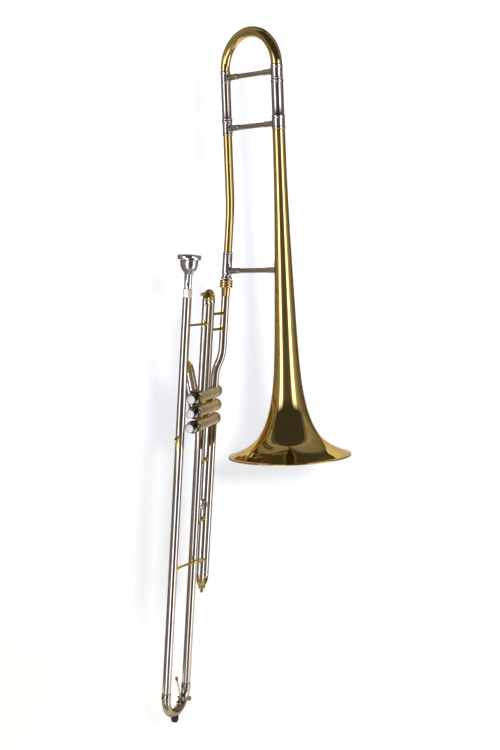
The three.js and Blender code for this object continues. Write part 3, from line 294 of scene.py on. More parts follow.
def point_piece(name, here):
    """A piece of one point, left in edit mode to be extruded."""
    bpy.ops.object.select_all(action="DESELECT")
    bpy.ops.mesh.primitive_plane_add(size=MM)
    piece = named(bpy.context.object, name)
    mode("EDIT")
    bpy.ops.mesh.merge(type="CENTER")
    bpy.ops.transform.translate(value=here)
    return piece


def turned(name, profile, sides=64, place=WORLD, soft=0.35, closed=None):
    """A turned piece: the profile of (radius, height) is extruded point by point and spun round Z."""
    closed = profile[0][0] > 0 if closed is None else closed
    points = softened(profile, soft, closed) if soft else [Vector(p) for p in profile]
    if closed:
        points.append(points[0])
    piece = point_piece(name, (points[0].x * MM, 0, points[0].y * MM))
    for before, here in zip(points, points[1:]):
        step = (here - before) * MM
        bpy.ops.mesh.extrude_vertices_move(TRANSFORM_OT_translate={"value": (step.x, 0, step.y)})
    bpy.ops.mesh.select_all(action="SELECT")
    bpy.ops.mesh.spin(steps=sides, angle=2 * math.pi, center=(0, 0, 0), axis=(0, 0, 1))
    bpy.ops.mesh.select_all(action="SELECT")
    bpy.ops.mesh.remove_doubles(threshold=WELD)
    bpy.ops.mesh.normals_make_consistent(inside=False)
    mode("OBJECT")
    return smoothed(settled(piece, place))


def rod(name, radius, start, end, place=WORLD, sides=32, soft=0.2):
    return turned(name, ((0, start), (radius, start), (radius, end), (0, end)), sides, place, soft)


def sleeve(name, radius, bore, start, end, place=WORLD, sides=64, soft=0.2):
    return turned(name, ((radius, start), (radius, end), (bore, end), (bore, start)), sides, place, soft)


def swept(name, radius, moves, wall, place=WORLD, sides=48):
    """A bent tube that starts at the place's origin up its Z and bends in its XZ plane.

    A move is (length,) or (degrees, bend radius, steps, end radius), where positive degrees turn
    towards +X.
    """
    bpy.ops.object.select_all(action="DESELECT")
    bpy.ops.mesh.primitive_circle_add(vertices=sides, radius=radius * MM, fill_type="NOTHING")
    piece = named(bpy.context.object, name)
    mode("EDIT")
    here, heading, size = Vector(), 0.0, radius
    for first, *rest in moves:
        if not rest:
            step = Vector((math.sin(heading), 0, math.cos(heading))) * first
            bpy.ops.mesh.extrude_region_move(TRANSFORM_OT_translate={"value": step * MM})
            here = here + step
            continue
        bend, steps, end_size = rest
        sign = math.copysign(1, first)
        centre = here + Vector((math.cos(heading), 0, -math.sin(heading))) * bend * sign
        part = math.radians(first) / steps
        grow = (end_size / size) ** (1 / steps)
        for _ in range(steps):
            bpy.ops.mesh.spin(steps=1, angle=abs(part), center=centre * MM, axis=(0, -sign, 0))
            heading += part
            here = centre - Vector((math.cos(heading), 0, -math.sin(heading))) * bend * sign
            if abs(grow - 1) > 1e-6:
                bpy.ops.transform.resize(value=(grow, grow, grow), center_override=here * MM)
        size = end_size
    mode("OBJECT")
    side = piece.data.polygons[0]
    if (side.center - Vector((0, 0, side.center.z))).dot(side.normal) < 0:
        edit(piece)
        bpy.ops.mesh.flip_normals()
        mode("OBJECT")
    if wall:
        modified(piece, "SOLIDIFY", thickness=wall * MM, offset=-1)
    return smoothed(settled(piece, place), 50)


def joined(name, pieces):
    alone(pieces[0])
    for piece in pieces[1:]:
        piece.select_set(True)
    bpy.ops.object.join()
    return named(bpy.context.object, name)


def discard(piece):
    alone(piece)
    bpy.ops.object.delete()


def carved(piece, *tools, operation="DIFFERENCE", keep=False):
    """Cuts the tools out of a piece, or keeps only what lies inside them."""
    for tool in tools:
        modified(piece, "BOOLEAN", operation=operation, solver="EXACT", object=tool)
        if not keep:
            discard(tool)
    return smoothed(piece)


def kept_largest(piece):
    """Keeps the largest loose part of a carved piece."""
    name = piece.name
    edit(piece)
    bpy.ops.mesh.separate(type="LOOSE")
    mode("OBJECT")
    largest, *others = sorted(bpy.context.selected_objects, key=lambda o: -max(o.dimensions))
    for part in others:
        discard(part)
    alone(named(largest, name))
    return largest


def copied(piece, name, move=Vector()):
    """A copy of a finished piece with its own mesh, moved along."""
    alone(piece)
    bpy.ops.object.duplicate(linked=False)
    copy = named(bpy.context.object, name)
    copy.matrix_world = Matrix.Translation(move) @ copy.matrix_world
    bpy.ops.object.transform_apply(location=True, rotation=True, scale=True)
    return copy


def bevelled(piece, width, segments=2):
    return smoothed(modified(piece, "BEVEL", width=width * MM, segments=segments, limit_method="ANGLE"))


def bar(name, size, centre, place, edge):
    """A rectangular bar with rounded edges."""
    bpy.ops.object.select_all(action="DESELECT")
    bpy.ops.mesh.primitive_cube_add(size=MM, location=Vector(centre) * MM)
    piece = named(bpy.context.object, name)
    piece.scale = size
    return settled(bevelled(applied(piece), edge, 3), place)


def knurled(piece, place, radius, low, high, ribs):
    """Presses every second line of points of a band inwards, for a knurl."""
    edit(piece, "DESELECT")
    mode("OBJECT")
    inverse = place.inverted()
    for point in piece.data.vertices:
        here = inverse @ point.co
        rib = round((math.atan2(here.y, here.x) / (2 * math.pi)) * ribs * 2) % 2
        out = math.hypot(here.x, here.y) > (radius - 0.35) * MM
        point.select = bool(rib) and out and low * MM < here.z < high * MM
    mode("EDIT")
    bpy.ops.transform.shrink_fatten(value=-bpy.context.scene.tube_sizes.knurl_depth)
    mode("OBJECT")
    return piece


# Finishes

def feed(tree, node, sockets):
    """Gives each socket its value, or links it to what feeds it."""
    for name, value in sockets.items():
        if isinstance(value, bpy.types.NodeSocket):
            tree.links.new(value, node.inputs[name])
        else:
            node.inputs[name].default_value = value
    return node


def add_node(tree, kind, sockets=None, **settings):
    node = tree.nodes.new("ShaderNode" + kind)
    for name, value in settings.items():
        setattr(node, name, value)
    return feed(tree, node, sockets or {})


def math_node(tree, operation, first, second):
    return add_node(tree, "Math", {0: first, 1: second}, operation=operation).outputs["Value"]


def mixed(tree, factor, first, second):
    first, second = (v if isinstance(v, bpy.types.NodeSocket) else (*v, 1) for v in (first, second))
    return add_node(tree, "Mix", {"Factor": factor, 6: first, 7: second}, data_type="RGBA").outputs[2]


def ranged(tree, value, sockets, **settings):
    return add_node(tree, "MapRange", {"Value": value, **sockets}, **settings).outputs["Result"]


def between(tree, value, low, high):
    return ranged(tree, value, {"To Min": low, "To Max": high})


def from_range(tree, value, low, high, **settings):
    return ranged(tree, value, {"From Min": low, "From Max": high}, **settings)


def new_group(name, inputs, outputs):
    group = bpy.data.node_groups.new(name, "ShaderNodeTree")
    for title, value in inputs.items():
        socket = group.interface.new_socket(title, in_out="INPUT", socket_type="NodeSocketFloat")
        socket.default_value = value
    for title in outputs:
        group.interface.new_socket(title, in_out="OUTPUT", socket_type="NodeSocketFloat")
    return group, group.nodes.new("NodeGroupInput"), group.nodes.new("NodeGroupOutput")


POLISH_SIZES = {"Haze size": 30, "Grain size": 900, "Tarnish size": 60}


def polish_group():
    """Hand-polish marks and finger haze on metal: a haze mask, a tarnish mask and a fine height."""
    group, source, result = new_group("Polish and haze", POLISH_SIZES, ("Haze", "Tarnish", "Height"))
    place = add_node(group, "TexCoord").outputs["Object"]
    for title, size, detail, rough, spread in (
            ("Haze", "Haze size", 3, 0.55, (0.35, 0.7)), ("Tarnish", "Tarnish size", 5, 0.6, (0.45, 0.72)),
            ("Height", "Grain size", 2, 0.5, None)):
        mask = add_node(group, "TexNoise", {
            "Vector": place, "Scale": source.outputs[size], "Detail": detail, "Roughness": rough}).outputs["Fac"]
        feed(group, result, {title: from_range(group, mask, *spread) if spread else mask})
    return group


def crevice_group():
    """Painted shade that darkens inner corners, from how sharply the surface is bent."""
    group, source, result = new_group("Crevice dirt", {"Reach": 0.5}, ("Dirt",))
    bent = from_range(group, add_node(group, "NewGeometry").outputs["Pointiness"], 0.5, 0.44)
    feed(group, result, {"Dirt": math_node(group, "MULTIPLY", bent, source.outputs["Reach"])})
    return group


def new_material(name):
    material = bpy.data.materials.new(name)
    material.use_nodes = True
    return material, material.node_tree, material.node_tree.nodes["Principled BSDF"]


def metal(name, base, tarnish, rough, bump, edge, coat):
    """A polished metal; edge is the colour that its reflections take at a glancing angle."""
    material, tree, shader = new_material(name)
    polish = add_node(tree, "Group", POLISH_SIZES, node_tree=groups["polish"]).outputs
    corner_shade_mask = add_node(tree, "Group", {"Reach": 0.6}, node_tree=groups["crevice"]).outputs["Dirt"]
    stained = mixed(tree, polish["Tarnish"], base, tarnish)
    height = add_node(tree, "Bump", {"Height": polish["Height"], "Strength": bump, "Distance": 0.00005})
    feed(tree, shader, {
        # Inner corners darken the colour towards a deep tarnish tone: painted shade.
        "Base Color": mixed(tree, corner_shade_mask, stained, tuple(c * 0.28 for c in tarnish)),
        "Roughness": between(tree, polish["Haze"], *rough), "Normal": height.outputs["Normal"],
        "Metallic": 1, "Specular Tint": (*edge, 1), "Coat Weight": coat, "Coat Roughness": 0.05})
    return material


def speckled(name, base, second, scale, rough, bump, depth):
    """A dull material with grains of a second colour, for cork and rubber."""
    material, tree, shader = new_material(name)
    place = add_node(tree, "TexCoord").outputs["Object"]
    grain = add_node(tree, "TexVoronoi", {"Vector": place, "Scale": scale}).outputs["Distance"]
    dust = add_node(tree, "TexNoise", {"Vector": place, "Scale": scale * 0.4, "Detail": 6}).outputs["Fac"]
    height = add_node(tree, "Bump", {"Height": grain, "Strength": bump, "Distance": depth})
    feed(tree, shader, {
        "Base Color": mixed(tree, dust, base, second), "Roughness": between(tree, dust, *rough),
        "Normal": height.outputs["Normal"]})
    return material


def pearl_finish(name, base):
    material, tree, shader = new_material(name)
    place = add_node(tree, "TexCoord").outputs["Object"]
    layers = add_node(tree, "TexNoise", {"Vector": place, "Scale": 140, "Detail": 4, "Distortion": 2.5})
    layers = layers.outputs["Fac"]
    feed(tree, shader, {
        "Base Color": mixed(tree, layers, base, shaded(base, (0.93, 0.98, 1.0))),
        "Roughness": between(tree, layers, 0.12, 0.3), "Coat Weight": 0.6, "Coat Roughness": 0.05})
    return material


def shaded(base, shares):
    return tuple(c * s for c, s in zip(base, shares))


# Slot or look, title, colour and its shares, the tarnish's shares, roughness, bump, edge colour, coat
METALS = (
    ("yellow_brass", "Lacquered brass", "brass", (1, 1, 1), (0.9, 0.82, 0.7), (0.02, 0.05), 0.03,
     (0.46, 0.36, 0.2), 0.3),
    ("casing_brass", "Casing brass", "casing", (1, 1, 1), (0.88, 0.84, 0.75), (0.42, 0.52), 0.25,
     (0.6, 0.56, 0.5), 0),
    ("nickel_silver", "Nickel silver", "nickel", (1, 1, 1), (0.88, 0.84, 0.76), (0.025, 0.06), 0.03,
     (0.28, 0.225, 0.16), 0),
    # A darker copy of nickel silver: its rougher finish is real, its darker colour is painted shade standing in for dim
    # reflections.
    ("dull_nickel", "Dulled nickel silver", "nickel", (0.68, 0.67, 0.6), (0.5, 0.5, 0.5), (0.12, 0.2), 0.1,
     (0.28, 0.225, 0.16), 0),
    # Nickel silver painted dark for the valve caps: a painted dark reflection.
    ("cap_nickel", "Valve caps", "nickel", (0.3, 0.3, 0.3), (0.22, 0.22, 0.22), (0.08, 0.14), 0.1, (0.4, 0.36, 0.3), 0),
    # A darker copy of the brass for the third slide's bow: its rougher finish is real, its darker colour is painted
    # shade.
    ("bow_brass", "Dulled brass", "brass", (0.62, 0.66, 0.8), (0.5, 0.5, 0.5), (0.2, 0.3), 0.1, (0.3, 0.25, 0.15), 0),
    ("silver_plate", "Silver plate", "silver", (1, 1, 1), (0.93, 0.93, 0.93), (0.03, 0.07), 0.03, (0.6, 0.56, 0.5), 0),
    ("spring_steel", "Spring steel", "steel", (1, 1, 1), (0.7, 0.7, 0.7), (0.25, 0.4), 0.2, (0.7, 0.7, 0.7), 0),
)
groups, finishes = {}, {}


class OBJECT_OT_trombone_finishes(bpy.types.Operator):
    """Makes the materials, and puts them on the CAD nodes that stay"""
    bl_idname = "object.trombone_finishes"
    bl_label = "Finishes"

    def execute(self, context):
        look = context.scene.trombone_finishes
        groups["polish"], groups["crevice"] = polish_group(), crevice_group()
        for slot, title, name, shares, tarnish, *rest in METALS:
            base = tuple(getattr(look, name))
            finishes[slot] = metal(title, shaded(base, shares), shaded(base, tarnish), *rest)
        finishes["pearl"] = pearl_finish("Pearl disc", tuple(look.pearl))
        finishes["black_rubber"] = speckled(
            "Black rubber", tuple(look.rubber), (0.016, 0.016, 0.015), 1600, (0.6, 0.8), 0.25, 0.0001)
        finishes["cork"] = speckled(
            "Cork", tuple(look.cork), (0.22, 0.09, 0.03), 1500, (0.7, 0.9), 0.7, 0.0004)
        slots = {row["node"]: row["material_slot"] for row in frame["record"]["subparts"]}
        for name, node in frame["nodes"].items():
            node.data.materials.clear()
            node.data.materials.append(finishes[slots[name]])
        return {"FINISHED"}


def placed(piece, body, slot, *nodes, look=None):
    """Gives a finished piece its material, its body and the CAD nodes that it stands for."""
    named(piece, "fine_" + piece.name.split(".")[0])
    piece.data.materials.clear()
    piece.data.materials.append(finishes[look or slot])
    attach(piece, body)
    if nodes:
        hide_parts(*nodes)
    return piece


def stand_in(piece, body, slot, look=None):
    """Places a piece that stands for the CAD node of its own name."""
    return placed(piece, body, slot, piece.name.split(".")[0], look=look)


# Bell section

def through(points, steps):
    """A smooth line through the points, with steps on each stretch."""
    points = [Vector(p) for p in points]
    ends = [2 * points[0] - points[1], *points, 2 * points[-1] - points[-2]]
    result = []
    for four in zip(ends, ends[1:], ends[2:], ends[3:]):
        knots = [0]
        for p, q in zip(four, four[1:]):
            knots.append(knots[-1] + max((q - p).length, 1e-6) ** 0.5)
        for k in range(steps):
            t = knots[1] + (knots[2] - knots[1]) * k / steps
            line = four
            for spans in (((0, 1), (1, 2), (2, 3)), ((0, 2), (1, 3)), ((1, 2),)):
                line = [
                    p * ((knots[high] - t) / (knots[high] - knots[low]))
                    + q * ((t - knots[low]) / (knots[high] - knots[low]))
                    for p, q, (low, high) in zip(line, line[1:], spans)]
            result.append(line[0])
    return [*result, points[-1]]


def flare_line(context):
    sizes = context.scene.bell_sizes
    rim, height = sizes.rim_radius / MM, sizes.height / MM
    return through([(radius * rim, share * height) for share, radius in FLARE], 7)


def bell_radius(context, height):
    line = flare_line(context)
    for low, high in zip(line, line[1:]):
        if low.y <= height <= high.y:
            return low.x + (high.x - low.x) * (height - low.y) / (high.y - low.y)
    return line[-1].x


class OBJECT_OT_trombone_bell(bpy.types.Operator):
    """Spins the bell's flare with its rolled rim"""
    bl_idname = "object.trombone_bell"
    bl_label = "Bell"

    def execute(self, context):
        sizes = context.scene.bell_sizes
        rim, bead, wall = sizes.rim_radius / MM, sizes.bead_radius / MM, sizes.wall / MM
        outer = [p for p in flare_line(context) if p.x < rim - 1.7 * bead]
        ring = [
            Vector((rim - bead + bead * math.cos(math.radians(a)), bead + bead * math.sin(math.radians(a))))
            for a in range(-190, 121, 15)]
        inner = []
        for before, here, after in zip(outer, outer[1:], outer[2:]):
            along = (after - before).normalized()
            inner.append(here + Vector((-along.y, along.x)) * wall)
        profile = [*ring, *outer, outer[-1] - Vector((wall, 0)), *reversed(inner)]
        stand_in(turned("bell", profile, 160, soft=0), "bell_section", "yellow_brass")
        return {"FINISHED"}


class OBJECT_OT_trombone_bell_tubes(bpy.types.Operator):
    """Turns the ferrules and slide tubes on the bell and on the neckpipe, and bends the neckpipe"""
    bl_idname = "object.trombone_bell_tubes"
    bl_label = "Bell section tubes"

    def execute(self, context):
        rows = (
            ("bell_slide_outer_tube", 72, WORLD, [
                (10.4, 531.8), (10.9, 532.4), (10.9, 536), (10.55, 536.8), (10.55, 550.1), (10.9, 550.9),
                (10.9, 553.9), (10.3, 554.5), (9.9, 554.7), (9.9, 607.1), (10.5, 607.9), (10.5, 610.7),
                (10, 611.5), (9.2, 611.5), (9.2, 531.8)]),
            ("neck_slide_inner_tube", 64, NECK_AXIS, [
                (7.8, 530), (8.3, 530.7), (8.3, 534), (7.95, 534.8), (7.95, 551.4), (8.9, 552), (8.9, 555),
                (6.9, 555), (6.9, 626.6), (6.5, 627), (6.2, 627), (6.2, 530)]),
        )
        for name, sides, place, profile in rows:
            stand_in(turned(name, profile, sides, place), "bell_section", "nickel_silver")

        # The neckpipe runs down from the slide, bends by the neck's angle and runs on to its ferrule.
        start, run = 529.7, 22
        bend = run / math.tan(math.radians(BEND_ANGLE) / 2)
        top = Vector((-LEG_SPACING, 0, start)) * MM
        moves = [(start - BEND[2] - run,), (BEND_ANGLE, bend, 16, 7.0), (73.7 - run,)]
        stand_in(swept("neckpipe", 7.4, moves, 0.8, toward(top, top - UP, -BEND_SIDE), 56),
                 "bell_section", "yellow_brass")
        tenon = turned("neck_tenon_ferrule", [
            (5.7, -146), (5.7, -120), (9, -120), (9.4, -119.5), (9.4, -117.2), (9, -116.8), (7.75, -116.4),
            (7.75, -112.4), (8.1, -111.8), (8.1, -78.6), (7.75, -78), (8.1, -77.4), (8.1, -74.6), (7.6, -74),
            (4.9, -74), (4.9, -146)], 64, NECK_FRAME)
        stand_in(tenon, "bell_section", "nickel_silver")
        return {"FINISHED"}


class OBJECT_OT_trombone_lock_nut(bpy.types.Operator):
    """Turns the knurled lock nut between the bell section and the valve section"""
    bl_idname = "object.trombone_lock_nut"
    bl_label = "Lock nut"

    def execute(self, context):
        top, bottom = -121.4, -134.4
        band = (top - bottom) / 3
        lows = [bottom + i * band for i in range(3)]
        profile = [(8.7, bottom), (10.2, bottom)]
        for low in lows:
            profile += [(10.2, low + 0.25), (10.85, low + 0.9), (10.85, low + band / 2), (10.85, low + band - 0.9),
                        (10.2, low + band - 0.25)]
        profile += [(10.2, top), (6, top), (6, top - 2), (8.7, top - 2)]
        nut = turned("bell_lock_nut", profile, 144, NECK_FRAME, 0.12)
        for low in lows:
            knurled(nut, NECK_FRAME, 10.85, low + 0.6, low + band - 0.6, 72)
        stand_in(nut, "lock_nut", "yellow_brass")
        return {"FINISHED"}


# Braces

def plate(centre, axis, outward, radius, half_high, half_wide, sides):
    """A shaped plate bent round a tube, for a brace to be soldered on."""
    along = toward(centre - axis * half_high * 2 * MM, centre + axis * half_high * 2 * MM)
    thickness = bpy.context.scene.tube_sizes.flange / MM
    skin = sleeve("plate", radius + thickness, radius - 0.1, 0, half_high * 4, along, 96, 0.1)
    outline = turned("outline", ((0, 0), (half_wide, 0), (half_wide, radius + 6), (0, radius + 6)), sides, soft=0)
    settled(stretched(outline, half_high / half_wide), toward(centre, centre + outward, axis))
    return smoothed(carved(skin, outline, operation="INTERSECT"), 40)


# Radius and height above the tube's skin, of the end of a long brace
BRACE_END = ((0, -0.3), (6.4, -0.3), (6.4, 1.1), (4.95, 2.1), (4.95, 19), (4.6, 20), (4.1, 20.3))
LOWER_BRACE = 306        # height of its end on the bell


class OBJECT_OT_trombone_braces(bpy.types.Operator):
    """Makes the three long braces between the neckpipe's side and the bell's side"""
    bl_idname = "object.trombone_braces"
    bl_label = "Cross braces"

    def execute(self, context):
        bell = bell_radius(context, LOWER_BRACE)
        reach = (BEND[2] - LOWER_BRACE) / math.cos(math.radians(BEND_ANGLE))
        # Name, body, start, the tube there and its direction, the tube at the end and the plate on it
        rows = (
            ("tuning_slide_brace", "tuning_slide", NECK_AXIS @ (UP * 625 * MM), 7.9, UP, 9.9, (9.9, 7.5, 7.5, 48)),
            ("upper_brace", "bell_section", NECK_AXIS @ (UP * 542 * MM), 7.95, UP, 10.55, (10.55, 7.5, 7.5, 48)),
            ("lower_brace", "bell_section", NECK_FRAME @ (UP * -reach * MM), 8.1, LAYOUT_UP, bell + 0.8,
             (bell - 0.1, 18, 9, 64)),
        )
        for name, body, start, near, axis, far, patch in rows:
            end = Vector((0, 0, start.z))
            across = (end - start).normalized()
            length = (end - start).length / MM
            profile = [(r, near + z) for r, z in BRACE_END] + [(r, length - far - z) for r, z in BRACE_END[::-1]]
            parts = [turned(name, profile, 56, toward(start, end), 0.3),
                     plate(start, axis, across, near, 7.5, 7.5, 48), plate(end, UP, -across, *patch)]
            stand_in(joined(name, parts), body, "nickel_silver")
        return {"FINISHED"}


class OBJECT_OT_trombone_tuning_slide(bpy.types.Operator):
    """Bends the tuning slide's bow and turns its two legs"""
    bl_idname = "object.trombone_tuning_slide"
    bl_label = "Tuning slide"

    def execute(self, context):
        bow = swept("tuning_bow", 7.6, [(180, LEG_SPACING / 2, 72, 9.4)], 0.9, moved(-LEG_SPACING, 0, 636), 64)
        stand_in(bow, "tuning_slide", "yellow_brass")
        rows = (
            ("tuning_slide_neck_tube", NECK_AXIS, [
                (8.4, 555.3), (8.9, 556), (8.9, 558), (8.4, 558.6), (7.9, 559), (7.9, 616.5), (8.15, 617),
                (8.15, 619.4), (7.9, 620), (7.9, 632), (8.1, 632.6), (8.1, 635), (7.7, 635.7), (7.2, 635.7),
                (7.2, 555.3)]),
            ("tuning_slide_bell_tube", WORLD, [
                (8.9, 561.8), (8.9, 612), (9.4, 612.2), (9.9, 612.8), (9.9, 615), (9.6, 615.8), (9.6, 630.6),
                (9.9, 631.2), (9.9, 635), (9.5, 635.7), (7.9, 635.7), (7.9, 561.8)]),
        )
        for name, place, profile in rows:
            stand_in(turned(name, profile, 64, place), "tuning_slide", "nickel_silver")
        return {"FINISHED"}


# Valve section

def valve_drop(number):
    return VALVE_DROP + number * VALVE_SPACING


def valve_frame(number):
    """A frame on a valve's axis with +Z from its button to its bottom cap."""
    return toward(spot(0, 0, valve_drop(number)), spot(1, 0, valve_drop(number)), LAYOUT_UP)


def three(piece):
    """A piece of the first valve, with its copies on the other two."""
    return [piece, *(copied(piece, piece.name, VALVE_STEP * number) for number in (1, 2))]


def casing_tool(number, play=0.02):
    """A solid casing, to be cut out of what meets it."""
    return rod("casing", CASING - play, 20, 140, valve_frame(number), 72)


class OBJECT_OT_trombone_casings(bpy.types.Operator):
    """Makes the three valve casings with their knuckles and their brackets to the lead tube"""
    bl_idname = "object.trombone_casings"
    bl_label = "Valve casings"

    def execute(self, context):
        parts = three(turned("valve_block", [
            (9.75, BAND_END), (9.95, BAND_END + 0.3), (9.95, 129.5), (9.7, 130.2), (9.95, 131), (9.95, 135.7),
            (9.7, CASING_END), (8.9, CASING_END), (8.9, BAND_END)], 72, valve_frame(0), 0.2))
        bands = three(turned("casing_bands", [
            (9.7, 24), (9.95, 24.3), (9.95, 27.4), (9.6, 28), (9.85, 28.7), (9.95, 31), (9.95, BAND_END - 1),
            (9.7, BAND_END - 0.1), (8.9, BAND_END - 0.1), (8.9, 24)], 72, valve_frame(0), 0.2))
        placed(joined("casing_bands", bands), "valve_section", "nickel_silver")
        tools = [casing_tool(number, 0.4) for number in range(3)]
        bridges = []
        for pair, x in enumerate(KNUCKLES):
            drop = valve_drop(pair)
            bridges.append(rod("knuckle", TUBE, -VALVE_SPACING, 0, at_spot(x, 0, drop), 48, 0))
            bridges.append(bar("web", (72, 2.4, 8), (0, 0, 0), at_spot(68, 0, drop + VALVE_SPACING / 2), 0.4))
            # Each is cut by itself, because joined pieces that cross break the cut.
            for bridge in bridges[-2:]:
                for tool in tools[pair:pair + 2]:
                    carved(bridge, tool, keep=True)
        placed(joined("valve_bridges", bridges), "valve_section", "yellow_brass")
        brackets = []
        beside = 13.4
        for drop in (valve_drop(0), valve_drop(2)):
            arm = turned("arm", [
                (0, 4), (5, 4), (5, 8.4), (3, 9.6), (1.9, 11), (1.9, 42.4), (1.4, 43.1), (0, 43.4)], 40,
                toward(spot(LEAD[0], beside, drop), spot(60, beside, drop)), 0.3)
            foot = bar("foot", (7, beside - 7, 9), (0, 0, 0), at_spot(32.5, (beside + 7) / 2, drop), 0.8)
            brackets += [carved(arm, rod("lead", TUBE, -20, 20, at_spot(*LEAD, drop), 48)), foot]
        whole = joined("brackets", brackets)
        for tool in tools:
            carved(whole, tool)
        stand_in(joined("valve_block", [*parts, whole]), "valve_section", "casing_brass")
        return {"FINISHED"}


class OBJECT_OT_trombone_valves(bpy.types.Operator):
    """Makes the caps, pistons, buttons, pearls and springs of the three valves"""
    bl_idname = "object.trombone_valves"
    bl_label = "Valves"

    def execute(self, context):
        place = valve_frame(0)
        top = turned("top_cap", [
            (3.2, 18.5), (6.6, 18.5), (8.2, 18.7), (9.6, 19.2), (10.3, 19.8), (10.8, 20.3), (10.8, 20.9),
            (10.8, 21.6), (10.8, 22.3), (10.8, 22.9), (10.3, 23.4), (10.3, 23.75), (8.6, 23.75), (8.6, 28.8),
            (7.6, 28.8), (7.6, 21), (3.2, 21)], 144, place, 0.15)
        knurled(top, place, 10.8, 20.5, 23.1, 72)
        bottom = turned("bottom_cap", [
            (8.6, 131), (8.6, 136.25), (10.6, 136.25), (11.1, 136.7), (11.1, 137.2), (11.1, 138), (11.1, 138.8),
            (11.1, 139.4), (10.6, 140), (9.4, 140.6), (9.2, 141.3), (8.7, 141.6), (5.6, 141.55), (3.2, 141),
            (2.2, 141.2), (1.9, 141.65), (0, 141.65), (0, 136.3), (7.6, 136.3), (7.6, 131)], 144, place, 0.15, False)
        knurled(bottom, place, 11.1, 136.9, 139.2, 72)
        piston = turned("piston", [
            (0, 3.3), (2.6, 3.3), (2.6, 32), (3.4, 33), (8.3, 33), (8.55, 33.4), (8.55, 102.6), (8.3, PISTON_END),
            (4, PISTON_END), (4, 106), (0, 106)], 56, place, 0.25)
        drop = valve_drop(0)
        carved(piston, *[
            rod("port", 5.6, -12, 12, toward(spot(x, 0, drop), spot(x, 0, drop + 1)), 32, 0) for x in (47, 68, 89)])
        cup = turned("button", [
            (0, 1.4), (6.8, 1.4), (6.8, 0.25), (6.85, 0.05), (7, 0.15), (7.1, 0.5), (7.1, 2.1), (6.6, 2.8),
            (4.6, 3.05), (3.6, 3.1), (0, 3.1)], 72, place, 0.12)
        disc = turned("pearl", [
            (0, 0), (2.6, 0.02), (5, 0.08), (6.3, 0.2), (6.65, 0.4), (6.7, 1.1), (0, 1.1)], 64, place, 0.1)
        rows = (
            # The top caps take the nickel silver painted dark: a painted dark reflection.
            (top, "valve_top_cap", "valve_section", "nickel_silver", "cap_nickel"),
            (bottom, "valve_bottom_cap", "valve_section", "casing_brass", None),
            (piston, "valve_piston", "{}_piston", "nickel_silver", None),
            (cup, "valve_button", "{}_piston", "nickel_silver", None),
            (disc, "button_pearl", "{}_piston", "pearl", None),
        )
        for model, kind, body, slot, look in rows:
            for number, label in enumerate(NAMES):
                piece = copied(model, f"{label}_{kind}", VALVE_STEP * number)
                stand_in(piece, body.format(label), slot, look)
            discard(model)

        # The CAD's springs stay as they are.
        for number, label in enumerate(NAMES):
            node = f"{label}_valve_spring"
            spring = copied(frame["nodes"][node], "valve_spring")
            bpy.ops.object.parent_clear(type="CLEAR_KEEP_TRANSFORM")
            for key in list(spring.keys()):
                del spring[key]
            placed(spring, "valve_section", "spring_steel", node)
            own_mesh(spring)
        return {"FINISHED"}


class OBJECT_OT_trombone_slides(bpy.types.Operator):
    """Makes the three valve slides: outer tubes, inner legs and bows"""
    bl_idname = "object.trombone_slides"
    bl_label = "Valve slides"

    def execute(self, context):
        bore = TUBE - context.scene.tube_sizes.wall / MM
        # Label, place of the leg, turn, length, length of the inner legs, where the tubes start, casings met
        rows = (
            ("first", (FIRST_LEG, 0), 0, valve_drop(0) - FIRST_SLIDE_END - TUBE, 90, 5, (0,)),
            ("second", (SECOND_LEG, CASING + TUBE / 2), -15, SECOND_SLIDE, 36, 0, (1, 0)),
            ("third", (THIRD_LEG, 0), 180, THIRD_SLIDE_END - valve_drop(2), 150, 5, (2,)),
        )
        for number, (label, leg, turn, length, inside, start, casings) in enumerate(rows):
            # +Z runs along the slide from its casing, and +X from leg to leg.
            place = at_spot(*leg, valve_drop(number)) @ turn_about(turn, "X")
            legs = (place, place @ moved(LEG_GAP, 0, 0))
            for side, leg_place in zip(("front", "rear"), legs):
                tube = turned(f"{label}_slide_{side}_tube", [
                    (TUBE, start), (TUBE, length - 7.6), (7.42, length - 7), (7.42, length - 0.8),
                    (7.3, length - 0.1), (bore, length - 0.1), (bore, start)], 56, leg_place, 0.25)
                carved(tube, *[casing_tool(n) for n in casings])
                stand_in(kept_largest(tube), "valve_section", "nickel_silver")
            end = length + 0.1
            parts = [swept("bow", TUBE, [(0.6,), (180, LEG_GAP / 2, 40, TUBE), (0.6,)], 0.75,
                           place @ moved(0, 0, end - 0.4), 56)]
            for leg_place in legs:
                parts.append(turned("bead", [
                    (7.2, end), (7.42, end + 0.4), (7.42, end + 1.5), (7.2, end + 1.9), (6.5, end + 1.9), (6.5, end)],
                    48, leg_place, 0.2))
            if label == "third":
                crown = moved(LEG_GAP / 2, 0, end + LEG_GAP / 2 + TUBE)
                parts.append(turned("knob", [
                    (0, -1.5), (5.6, -1.5), (5.9, 0.4), (5.9, 2.6), (5, 3.6), (2.3, 4.2), (2, 5.2), (2.3, 5.8),
                    (3, 6.6), (3.3, 8), (3, 9.4), (2, 10.6), (0, 11)], 48, place @ crown, 0.5))
            if label == "first":
                parts.append(turned("stub", [
                    (0, 5.5), (4, 5.5), (3.9, 7.4), (2.9, 8.3), (2.5, 10.3), (2.9, 10.8), (2.9, 11.6), (2.4, 12.1),
                    (0, 12.2)], 40, place @ moved(4, 0, end + 8.6) @ turn_about(-90, "X"), 0.2))
            # The third slide's bow takes the darker copy of the brass: painted shade.
            placed(joined(f"{label}_slide_bow", parts), f"{label}_slide", "yellow_brass",
                   f"{label}_slide_inner_bow", look="bow_brass" if label == "third" else None)
            inner = [sleeve("leg", 6.25, 5.55, length - inside, end + 1, leg_place, 48) for leg_place in legs]
            placed(joined(f"{label}_slide_legs", inner), f"{label}_slide", "nickel_silver")
        return {"FINISHED"}


